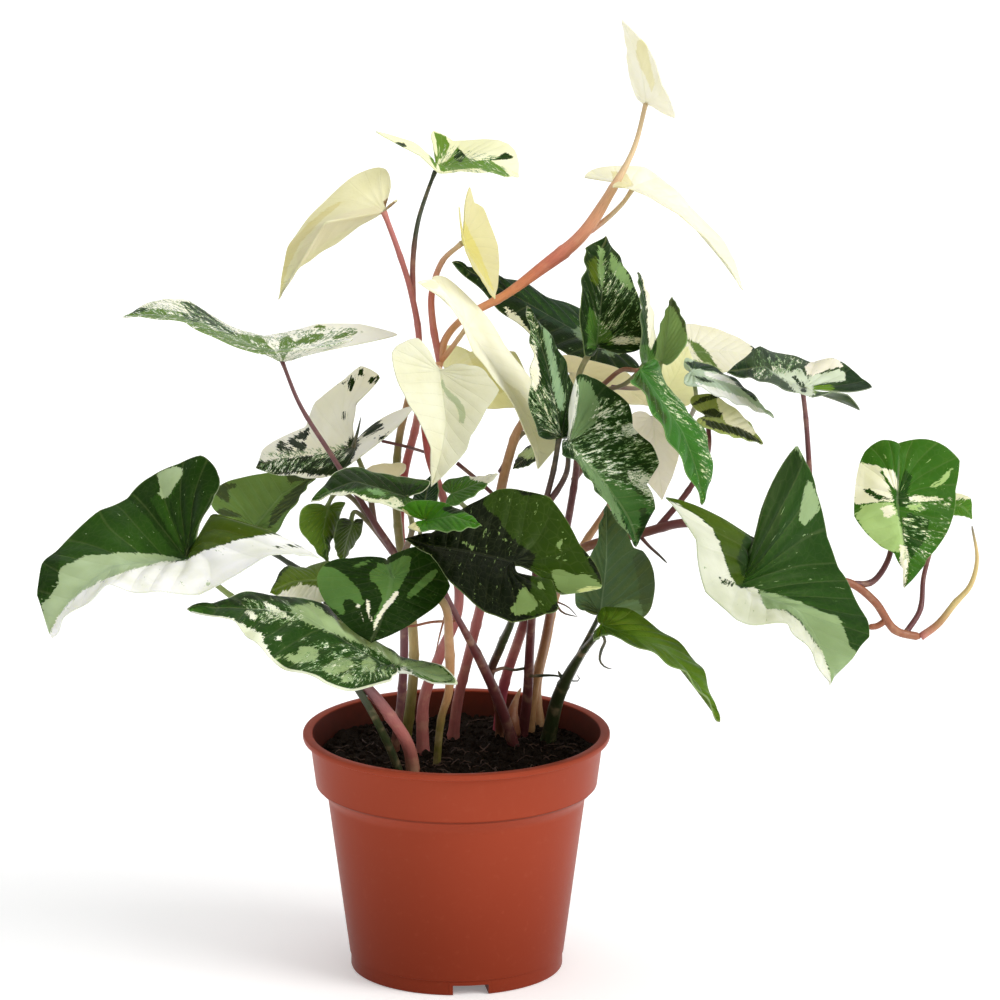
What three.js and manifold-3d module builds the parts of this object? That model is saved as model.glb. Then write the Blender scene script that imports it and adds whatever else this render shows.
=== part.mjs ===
// A variegated arrowhead plant (Syngonium) in its 12 cm plastic nursery pot.
// Millimetres, +Z up. The origin is the middle of the pot's underside, +X is to the right of the
// pot's front and +Y points away from it, so the front is the -Y side.
import * as THREE from "three";
import { mergeVertices } from "three/addons/utils/BufferGeometryUtils.js";
import Module from "manifold-3d";

const wasm = await Module();
wasm.setup();

// ---- Driving dimensions ----
const POT = {
  height: 95,
  rimRadius: 60, // outside of the lip
  lipHeight: 2.5,
  bandTopRadius: 57.4, // the collar under the lip
  bandBottomRadius: 54.9,
  bandBottom: 74.5,
  coveMiddle: 71.5,
  coveMiddleRadius: 51.8,
  coveBottom: 68.5,
  bodyTopRadius: 50.2,
  footRadius: 41.5,
  footHeight: 6,
  footStep: 0.5, // the body stands proud of the foot by this much
  wall: 1.4,
  floor: 1.5,
  edgeRound: 0.7,
  sides: 36,
};
// Drainage channels that rise into the underside, each with a hole in its roof. The first is at
// `firstAngle` degrees from +X, and `inner` and `holeAt` are distances from the pot's axis.
const CHANNEL = {
  count: 3,
  firstAngle: -82,
  width: 14,
  height: 4,
  wall: 1.4,
  inner: 24,
  holeRadius: 3.2,
  holeAt: 33,
  holeSides: 10,
};
const SOIL = {
  level: 85.5,
  gap: 0.3,
  facetInset: 0.15, // the flats of the pot's wall stand this far inside its circle
  sides: 32,
};
const SEAT = 0.3; // clearance between touching pieces
const BLADE = 0.9; // leaf thickness
const STEM_SIDES = 5;
const EXTRA_RINGS = 3; // a stem tube has this many more rings of faces than it has points
const END_INSET = 0.15; // of a petiole's radius, more than its slant alone asks for under a blade
const WELD = 1e-4; // vertices closer than this are one

// ---- The elevation sheet ----
// Leaves and stems are set out on a front elevation drawn in perspective. A point [u, v, back] is
// u units right and v units down on a sheet 1000 units square, seen by an eye in front of the pot
// that looks down at 15 degrees; `back` is its distance behind the pot's axis in millimetres.
const SHEET = { middle: 500, focal: 8018, pitch: 15, eye: new THREE.Vector3(17, -3000, 992.1) };
const pitch = THREE.MathUtils.degToRad(SHEET.pitch);
const sightLine = new THREE.Vector3(0, Math.cos(pitch), -Math.sin(pitch));
const sheetUp = new THREE.Vector3(0, Math.sin(pitch), Math.cos(pitch));

function place([u, v, back]) {
  const ray = sightLine.clone();
  ray.x += (u - SHEET.middle) / SHEET.focal;
  ray.addScaledVector(sheetUp, (SHEET.middle - v) / SHEET.focal);
  return SHEET.eye.clone().addScaledVector(ray, (back - SHEET.eye.y) / ray.y);
}

// ---- Leaf blades ----
// Each blade is one arrowhead outline, bent so that nine landmarks of it come to their own places:
// the spine's joint, middle and tip, and on each side the basal lobe's tip, the widest point and
// the flank. Left and right are as seen from the joint, looking to the tip with the upper side up.
// `extra` gives more landmarks, each as its station in the outline and its place. `margin` gives more
// by their number in HALF_OUTLINE, with a minus for the left side.
const LEAVES = {
  leaf_top: {
    spine: [[647, 103, 40], [641, 62, 37], [622, 20, 32]],
    left: [[675, 118, 30], [662, 85, 24], [650, 50, 27]],
    right: [[639, 100, 46], [631, 80, 52], [627, 50, 46]],
  },
  leaf_drooping_cream: {
    spine: [[633, 188, 28], [682, 212, 25], [743, 290, 20]],
    left: [[584, 178, 42], [645, 168, 46], [692, 208, 42]],
    right: [[613, 187, 14], [655, 200, 8], [700, 233, 8]],
    margin: [
      [-9, [720, 237, 36]], [-10, [735, 261, 30]], [1, [626, 184, 24]], [2, [619, 182, 20]],
    ],
  },
  leaf_pale_left: {
    spine: [[383, 212, 10], [325, 222, 2], [278, 300, 8]],
    left: [[387, 171, 24], [345, 183, 20], [292, 240, 14]],
    right: [[397, 202, 20], [360, 226, 16], [310, 260, 12]],
  },
  leaf_small_top: {
    spine: [[436, 170, 28], [478, 158, 26], [519, 177, 22]],
    left: [[375, 131, 40], [440, 133, 38], [490, 140, 36]],
    right: [[405, 153, 16], [450, 172, 14], [488, 171, 14]],
  },
  leaf_yellow: {
    spine: [[463, 243, -2], [480, 264, -6], [495, 299, -8]],
    left: [[470, 187, 6], [489, 222, 10], [499, 265, 4]],
    right: [[459, 207, -14], [466, 252, -16], [481, 278, -14]],
    margin: [
      [-4, [474, 203, 8]], [-5, [483, 208, 9]], [-7, [497, 244, 10]], [-8, [499, 260, 8]],
      [-10, [497, 288, -3]],
    ],
  },
  leaf_wing_left: {
    spine: [[282, 360, -15], [205, 321, -15], [123, 317, -12]],
    left: [[352, 338, -45], [262, 354, -42], [185, 322, -32]],
    right: [[398, 334, 8], [286, 332, 12], [186, 300, 6]],
    margin: [
      [4, [362, 325, 10]], [5, [318, 324, 12]], [7, [264, 337, 10]], [8, [226, 325, 8]],
      [9, [164, 299, 2]], [10, [142, 306, -4]],
    ],
  },
  leaf_speckled: {
    spine: [[353, 447, -8], [300, 455, -12], [256, 468, -14]],
    left: [[414, 406, -26], [338, 472, -22], [295, 475, -24]],
    right: [[380, 377, 14], [318, 400, 14], [283, 437, 4]],
    margin: [
      [1, [352, 426, -2]], [2, [355, 404, 6]], [4, [362, 366, 15]], [5, [345, 379, 16]],
      [7, [314, 405, 12]], [8, [306, 427, 9]], [9, [274, 441, 0]], [10, [262, 451, -7]],
    ],
  },
  leaf_cream_heart: {
    spine: [[440, 371, -42], [446, 420, -46], [431, 487, -56]],
    left: [[470, 366, -46], [499, 390, -50], [471, 436, -54]],
    right: [[418, 338, -44], [393, 362, -50], [408, 404, -54]],
    margin: [
      [-5, [489, 377, -46]], [-7, [487, 408, -52]], [-8, [476, 428, -54]], [-9, [467, 449, -55]],
      [-10, [449, 470, -56]], [4, [402, 343, -46]], [5, [393, 351, -48]], [7, [396, 377, -52]],
      [8, [404, 394, -53]], [9, [417, 416, -55]], [10, [431, 448, -56]],
    ],
  },
  leaf_long_cream: {
    spine: [[467, 328, -18], [512, 392, -22], [538, 469, -27]],
    left: [[432, 278, -10], [486, 316, -4], [548, 402, -8]],
    right: [[417, 283, -34], [463, 326, -36], [506, 392, -36]],
    margin: [
      [-1, [455, 306, -20]], [-2, [441, 288, -16]], [-4, [444, 277, -8]], [-5, [462, 290, -6]],
      [-7, [503, 343, -4]], [-8, [527, 375, -6]], [-9, [556, 424, -10]], [-10, [560, 444, -16]],
      [1, [452, 301, -22]], [2, [433, 280, -27]], [4, [428, 288, -35]], [5, [444, 298, -36]],
      [7, [474, 352, -37]], [8, [492, 376, -37]],
    ],
  },
  leaf_cream_behind_heart: {
    spine: [[448, 372, 22], [495, 380, 26], [540, 405, 28]],
    left: [[440, 350, 40], [470, 352, 46], [515, 352, 44]],
    right: [[440, 385, 14], [468, 405, 14], [508, 408, 18]],
  },
  leaf_dark_long: {
    spine: [[600, 345, 50], [530, 305, 48], [452, 262, 46]],
    left: [[640, 366, 38], [590, 364, 34], [520, 327, 36]],
    right: [[645, 335, 68], [590, 316, 66], [512, 279, 58]],
  },
  leaf_dark_upright: {
    spine: [[596, 345, 2], [602, 290, 4], [606, 236, 8]],
    left: [[586, 355, -9], [582, 305, -8], [586, 268, -2]],
    right: [[638, 350, 10], [640, 308, 12], [624, 266, 12]],
    extra: [[[-0.17, 0.83], [585, 248, 2]]],
  },
  leaf_thin_upright: {
    spine: [[647, 362, -4], [645, 315, -3], [638, 272, 0]],
    left: [[642, 369, -14], [641, 335, -14], [641, 300, -8]],
    right: [[652, 369, 8], [655, 335, 10], [650, 300, 8]],
  },
  leaf_sage_upright: {
    spine: [[662, 362, 14], [669, 330, 14], [672, 297, 16]],
    left: [[674, 360, 6], [687, 338, 8], [680, 313, 12]],
    right: [[650, 372, 20], [656, 345, 22], [664, 316, 18]],
  },
  leaf_yellow_tuck: {
    spine: [[664, 395, 30], [678, 370, 32], [688, 346, 34]],
    left: [[655, 398, 26], [655, 378, 26], [668, 356, 30]],
    right: [[682, 405, 36], [694, 396, 36], [694, 368, 36]],
  },
  leaf_hanging_green: {
    spine: [[640, 370, -28], [682, 432, -40], [702, 505, -46]],
    left: [[652, 360, -12], [670, 393, -16], [708, 438, -28]],
    right: [[632, 381, -44], [645, 396, -50], [671, 443, -54]],
    extra: [[[-0.17, 0.83], [712, 480, -38]]],
  },
  leaf_marbled_narrow: {
    spine: [[561, 436, -34], [548, 372, -32], [527, 306, -28]],
    left: [[542, 437, -42], [530, 402, -46], [533, 355, -38]],
    right: [[570, 436, -28], [574, 398, -24], [561, 353, -24]],
  },
  leaf_marbled_big: {
    spine: [[569, 443, -44], [605, 484, -46], [636, 547, -50]],
    left: [[577, 375, -20], [628, 404, -20], [660, 464, -30]],
    right: [[562, 454, -54], [580, 464, -58], [598, 492, -60]],
    extra: [[[-0.17, 0.83], [656, 508, -42]]],
    margin: [
      [-4, [590, 378, -18]], [-5, [610, 388, -17]], [-7, [632, 427, -23]], [-8, [651, 445, -27]],
      [-9, [647, 484, -38]],
    ],
  },
  leaf_cream_back_right: {
    spine: [[690, 352, 60], [728, 352, 58], [766, 360, 56]],
    left: [[680, 330, 76], [702, 326, 78], [742, 340, 72]],
    right: [[684, 368, 46], [702, 372, 44], [738, 370, 42]],
  },
  leaf_pale_right: {
    spine: [[692, 372, 8], [728, 386, 4], [774, 418, 0]],
    left: [[684, 362, 18], [704, 364, 20], [740, 383, 14]],
    right: [[684, 382, -4], [702, 388, -8], [738, 404, -8]],
  },
  leaf_olive_right: {
    spine: [[708, 416, -4], [735, 425, -6], [763, 444, -8]],
    left: [[690, 402, 6], [712, 395, 8], [744, 417, 2]],
    right: [[696, 424, -16], [714, 430, -18], [738, 438, -16]],
  },
  leaf_right_umbrella: {
    spine: [[803, 388, 4], [765, 367, 4], [727, 373, 2]],
    left: [[860, 410, -18], [812, 397, -22], [765, 382, -14]],
    right: [[872, 388, 26], [832, 359, 30], [772, 351, 26]],
    margin: [
      [-4, [848, 396, -20]], [-5, [832, 391, -22]], [-7, [795, 393, -20]], [-8, [778, 386, -18]],
      [-10, [745, 378, -4]], [4, [861, 378, 28]], [5, [848, 366, 30]], [7, [812, 362, 30]],
      [8, [790, 356, 28]], [9, [760, 347, 22]], [10, [744, 358, 10]],
    ],
  },
  leaf_big_right: {
    spine: [[738, 585, -30], [794, 608, -38], [830, 685, -40]],
    left: [[798, 445, -4], [828, 537, -4], [867, 621, -14]],
    right: [[665, 497, -56], [706, 592, -66], [788, 624, -62]],
    extra: [
      [[-0.17, 0.83], [850, 660, -26]],
      [[0.06, -0.12], [757, 541, -22]],
      [[0.12, -0.25], [722, 517, -40]],
      [[0.47, -0.2], [697, 540, -63]],
      [[0.52, 0.22], [735, 620, -69]],
      [[0.17, 0.83], [814, 655, -52]],
    ],
    margin: [
      [-1, [750, 551, -30]], [-2, [763, 504, -20]], [-4, [807, 464, -3]], [-5, [815, 492, -2]],
      [-7, [838, 569, -6]], [-8, [857, 600, -10]], [-9, [869, 637, -20]],
    ],
  },
  leaf_right_heart: {
    spine: [[897, 498, 14], [903, 545, 8], [904, 588, 2]],
    left: [[922, 439, 28], [955, 490, 22], [936, 550, 10]],
    right: [[882, 440, 22], [855, 490, 16], [881, 547, 8]],
    extra: [[[-0.17, 0.83], [920, 571, 6]], [[0.17, 0.83], [903, 569, 4]]],
    sinus: 0.15,
    margin: [
      [-2, [896, 446, 26]], [-4, [943, 445, 28]], [-5, [960, 460, 26]], [-7, [954, 514, 18]],
      [-8, [946, 534, 13]], [-9, [926, 560, 8]], [2, [901, 446, 21]], [4, [866, 450, 22]],
      [5, [859, 466, 20]], [7, [854, 516, 13]], [8, [866, 533, 10]], [9, [894, 553, 6]],
    ],
  },
  leaf_tiny_right: {
    spine: [[950, 504, 34], [962, 507, 33], [972, 519, 32]],
    left: [[946, 496, 40], [957, 494, 40], [971, 499, 38]],
    right: [[944, 512, 28], [952, 514, 28], [963, 516, 29]],
  },
  leaf_big_left: {
    spine: [[187, 560, -45], [112, 566, -52], [52, 638, -60]],
    left: [[320, 557, -78], [198, 593, -86], [108, 586, -80]],
    right: [[218, 474, -22], [152, 477, -17], [60, 546, -34]],
    extra: [
      [[-0.06, -0.12], [213, 515, -50]],
      [[-0.12, -0.25], [266, 528, -64]],
      [[-0.47, -0.2], [268, 557, -87]],
      [[-0.17, 0.83], [64, 620, -70]],
      [[0.12, -0.25], [213, 496, -28]],
      [[0.38, -0.3], [203, 456, -19]],
      [[0.49, -0.16], [178, 463, -17]],
      [[0.52, 0.22], [128, 498, -20]],
      [[0.45, 0.42], [98, 513, -26]],
      [[0.25, 0.73], [43, 566, -40]],
      [[0.17, 0.83], [36, 594, -48]],
    ],
  },
  leaf_sage_left: {
    spine: [[256, 527, -2], [282, 495, -4], [322, 470, -8]],
    left: [[272, 535, -10], [290, 510, -12], [307, 486, -12]],
    right: [[228, 520, 8], [214, 490, 10], [260, 474, 4]],
  },
  leaf_shelf_left: {
    spine: [[405, 497, -50], [355, 482, -54], [311, 502, -58]],
    left: [[422, 509, -56], [398, 509, -62], [350, 494, -66]],
    right: [[430, 484, -36], [396, 478, -36], [345, 467, -40]],
  },
  leaf_hanging_left: {
    spine: [[328, 508, -46], [322, 534, -50], [327, 562, -52]],
    left: [[344, 502, -38], [339, 516, -38], [331, 541, -44]],
    right: [[309, 504, -56], [299, 525, -58], [314, 546, -56]],
  },
  leaf_curled_left: {
    spine: [[352, 524, -40], [346, 542, -42], [342, 563, -44]],
    left: [[361, 519, -34], [361, 532, -32], [350, 550, -36]],
    right: [[342, 518, -48], [335, 532, -50], [336, 550, -49]],
  },
  leaf_bright_small: {
    spine: [[426, 521, -74], [452, 516, -86], [482, 526, -98]],
    left: [[402, 509, -70], [430, 500, -70], [462, 511, -82]],
    right: [[408, 528, -84], [430, 530, -90], [458, 531, -98]],
  },
  leaf_olive_left: {
    spine: [[318, 580, -60], [295, 582, -62], [270, 593, -64]],
    left: [[332, 597, -70], [312, 601, -74], [290, 599, -72]],
    right: [[330, 562, -48], [306, 569, -46], [284, 567, -50]],
  },
  leaf_front_facing: {
    spine: [[392, 578, -80], [384, 611, -88], [371, 643, -94]],
    left: [[414, 547, -70], [450, 586, -74], [418, 619, -88]],
    right: [[350, 559, -70], [317, 580, -76], [340, 619, -90]],
    extra: [[[-0.47, -0.2], [436, 560, -70]], [[0.47, -0.2], [325, 564, -72]]],
    sinus: 0.05,
  },
  leaf_front_left: {
    spine: [[393, 670, -94], [300, 614, -100], [187, 609, -104]],
    left: [[393, 674, -106], [350, 689, -126], [266, 657, -128]],
    right: [[458, 684, -88], [398, 656, -78], [300, 598, -80]],
    margin: [
      [-1, [396, 668, -95]], [-2, [397, 669, -99]], [-4, [388, 681, -114]],
      [-5, [372, 688, -122]], [-7, [318, 680, -129]], [-8, [284, 667, -129]],
      [-9, [254, 641, -124]], [-10, [234, 623, -114]], [1, [412, 672, -93]], [2, [432, 681, -91]],
      [4, [444, 669, -85]], [5, [422, 659, -82]], [7, [364, 638, -76]], [8, [334, 611, -76]],
      [9, [264, 592, -84]], [10, [230, 597, -94]],
    ],
  },
  leaf_dark_centre: {
    spine: [[512, 562, -84], [458, 550, -82], [404, 539, -80]],
    left: [[554, 607, -106], [512, 623, -110], [452, 583, -100]],
    right: [[602, 588, -92], [550, 498, -60], [478, 500, -64]],
    extra: [
      [[-0.47, -0.2], [546, 613, -110]],
      [[-0.45, 0.42], [472, 603, -104]],
      [[-0.17, 0.83], [430, 553, -86]],
      [[0.47, -0.2], [580, 545, -74]],
      [[0.45, 0.42], [497, 490, -60]],
      [[0.17, 0.83], [432, 533, -76]],
      [[-0.06, -0.12], [518, 572, -86]],
      [[0.06, -0.12], [520, 557, -86]],
      [[-0.12, -0.25], [536, 566, -90]],
      [[0.12, -0.25], [538, 576, -96]],
    ],
  },
  leaf_grey_underside: {
    spine: [[600, 612, -36], [606, 560, -46], [607, 505, -46]],
    left: [[640, 618, -30], [654, 578, -32], [634, 548, -40]],
    right: [[584, 610, -40], [575, 592, -44], [597, 545, -48]],
    margin: [
      [-7, [650, 561, -33]], [-8, [642, 550, -37]], [-9, [627, 532, -42]],
    ],
  },
  leaf_drooping_front: {
    spine: [[603, 626, -52], [666, 650, -68], [720, 722, -76]],
    left: [[600, 612, -46], [634, 613, -46], [696, 660, -54]],
    right: [[594, 640, -64], [622, 638, -76], [682, 671, -84]],
  },
  leaf_small_centre: {
    spine: [[452, 494, -34], [472, 486, -36], [498, 474, -38]],
    left: [[442, 486, -24], [456, 478, -24], [478, 477, -30]],
    right: [[446, 505, -44], [462, 502, -46], [481, 490, -44]],
  },
  leaf_narrow_centre: {
    spine: [[425, 502, -28], [428, 488, -29], [433, 474, -30]],
    left: [[414, 506, -24], [414, 497, -22], [421, 485, -26]],
    right: [[434, 504, -34], [438, 494, -34], [437, 482, -33]],
  },
  leaf_cream_back_centre: {
    spine: [[652, 418, 22], [656, 455, 20], [662, 500, 18]],
    left: [[670, 410, 28], [679, 432, 28], [676, 466, 24]],
    right: [[636, 412, 14], [630, 436, 14], [641, 472, 14]],
  },
  leaf_small_behind: {
    spine: [[536, 450, -2], [526, 458, -4], [513, 469, -6]],
    left: [[539, 455, -8], [532, 463, -10], [523, 467, -10]],
    right: [[536, 444, 4], [524, 450, 6], [516, 460, 2]],
  },
  leaf_cream_strip: {
    spine: [[398, 476, -18], [378, 474, -20], [357, 478, -22]],
    left: [[408, 484, -28], [396, 486, -32], [375, 483, -30]],
    right: [[406, 466, -8], [392, 464, -6], [372, 466, -10]],
  },
  leaf_cream_back: {
    spine: [[572, 374, 20], [610, 382, 18], [652, 406, 14]],
    left: [[560, 358, 28], [585, 360, 28], [628, 373, 24]],
    right: [[560, 392, 12], [584, 402, 10], [624, 404, 10]],
  },
};

// The outline's right half as [across, along] for a blade whose joint is [0, 0] and tip [0, 1]:
// out of the sinus, round the basal lobe, and along the margin to the tip.
const HALF_OUTLINE = [
  [0, -0.03],
  [0.06, -0.12],
  [0.12, -0.25],
  [0.24, -0.34],
  [0.38, -0.3],
  [0.49, -0.16],
  [0.54, 0.02],
  [0.52, 0.22],
  [0.45, 0.42],
  [0.33, 0.63],
  [0.17, 0.83],
  [0, 1],
];
const SPINE_STATIONS = [[0, 0], [0, 0.5], [0, 1]];
const SIDE_STATIONS = [[0.24, -0.34], [0.54, 0.02], [0.39, 0.54]];
const FOLD_ROUNDING = 0.06; // how softly the blade folds along its midrib
const SINUS_POINTS = 2; // outline points that the sinus width moves
const LARGE_BLADE = 40; // a blade longer than this has a second ring of faces
const VEIN_SLANT = 0.35; // a side vein leaves the midrib this much nearer the joint
const NORMAL_STEP = 0.02; // of the blade's length, to each side of the point whose normal is found

// Solves a square linear system whose right-hand side has several columns.
function solve(matrix, columns) {
  const rows = matrix.map((row, i) => [...row, ...columns[i]]);
  const size = rows.length;
  for (let i = 0; i < size; i++) {
    let best = i;
    for (let r = i + 1; r < size; r++) {
      if (Math.abs(rows[r][i]) > Math.abs(rows[best][i])) best = r;
    }
    [rows[i], rows[best]] = [rows[best], rows[i]];
    for (let r = 0; r < size; r++) {
      if (r === i) continue;
      const factor = rows[r][i] / rows[i][i];
      for (let c = i; c < rows[r].length; c++) rows[r][c] -= factor * rows[i][c];
    }
  }
  return rows.map((row, i) => row.slice(size).map((value) => value / row[i]));
}

const plane = (across, along) => [1, across, along, Math.hypot(across, FOLD_ROUNDING)];

// Point number k of a blade's outline, on the right side (1) or the left side (-1).
function outlinePoint(leaf, side, k) {
  const [across, along] = HALF_OUTLINE[k];
  const narrowing = k > 0 && k <= SINUS_POINTS ? (leaf.sinus ?? 1) : 1;
  return [side * across * narrowing, along];
}

// The blade's middle surface: a function from [across, along] to a point in space.
function bladeSurface(leaf) {
  const mirrored = SIDE_STATIONS.map(([across, along]) => [-across, along]);
  const stations = [...SPINE_STATIONS, ...mirrored, ...SIDE_STATIONS];
  const landmarks = [...leaf.spine, ...leaf.left, ...leaf.right];
  for (const [station, landmark] of leaf.extra ?? []) {
    stations.push(station);
    landmarks.push(landmark);
  }
  for (const [number, landmark] of leaf.margin ?? []) {
    stations.push(outlinePoint(leaf, Math.sign(number), Math.abs(number)));
    landmarks.push(landmark);
  }
  const targets = landmarks.map((landmark) => place(landmark).toArray());
  const terms = plane(0, 0).length;
  const reach = ([a, b], [c, d]) => Math.hypot(a - c, b - d);
  const matrix = stations.map((p) => [...stations.map((q) => reach(p, q)), ...plane(...p)]);
  for (let i = 0; i < terms; i++) {
    matrix.push([...stations.map((q) => plane(...q)[i]), ...new Array(terms).fill(0)]);
  }
  const none = new Array(terms).fill([0, 0, 0]);
  const weights = solve(matrix, [...targets, ...none]);
  return (across, along) => {
    const basis = [...stations.map((q) => reach([across, along], q)), ...plane(across, along)];
    const point = new THREE.Vector3();
    basis.forEach((value, i) => point.addScaledVector(new THREE.Vector3(...weights[i]), value));
    return point;
  };
}

function bladeNormal(surface, across, along) {
  const s = surface(across + NORMAL_STEP, along).sub(surface(across - NORMAL_STEP, along));
  const t = surface(across, along + NORMAL_STEP).sub(surface(across, along - NORMAL_STEP));
  return s.cross(t).normalize();
}

function closedGeometry(positions, index) {
  const geometry = new THREE.BufferGeometry();
  geometry.setAttribute("position", new THREE.Float32BufferAttribute(positions, 3));
  geometry.setIndex(index);
  return geometry;
}

// A thin closed blade: the same net of points above and below the middle surface.
function bladeGeometry(leaf) {
  const surface = bladeSurface(leaf);
  const last = HALF_OUTLINE.length - 1;
  const rows = surface(0, 0).distanceTo(surface(0, 1)) > LARGE_BLADE ? 2 : 1;
  const net = []; // [across, along] of each point
  const found = new Map();
  const pointAt = (side, k, row) => {
    const [across, along] = outlinePoint(leaf, side, k);
    const root = k === last ? 1 : Math.max(0, along - VEIN_SLANT * Math.abs(across));
    const out = row / rows;
    const at = [across * out, root + (along - root) * out];
    const key = at.map((value) => value.toFixed(5)).join();
    if (!found.has(key)) {
      found.set(key, net.length);
      net.push(at);
    }
    return found.get(key);
  };
  const faces = [];
  const margin = [];
  for (const side of [1, -1]) {
    for (let k = 0; k < last; k++) {
      for (let row = 0; row < rows; row++) {
        const quad = [
          pointAt(side, k, row),
          pointAt(side, k, row + 1),
          pointAt(side, k + 1, row + 1),
          pointAt(side, k + 1, row),
        ];
        for (const [a, b, c] of [[quad[0], quad[1], quad[2]], [quad[0], quad[2], quad[3]]]) {
          if (a !== b && b !== c && a !== c) faces.push(side > 0 ? [a, b, c] : [a, c, b]);
        }
      }
      const edge = [pointAt(side, k, rows), pointAt(side, k + 1, rows)];
      margin.push(side > 0 ? edge : edge.reverse());
    }
  }
  const count = net.length;
  const positions = [];
  for (const lift of [BLADE / 2, -BLADE / 2]) {
    for (const [across, along] of net) {
      const normal = bladeNormal(surface, across, along);
      positions.push(...surface(across, along).addScaledVector(normal, lift).toArray());
    }
  }
  const index = [];
  for (const [a, b, c] of faces) index.push(a, b, c, a + count, c + count, b + count);
  for (const [a, b] of margin) index.push(a, a + count, b, b, a + count, b + count);
  return closedGeometry(positions, index);
}

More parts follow.
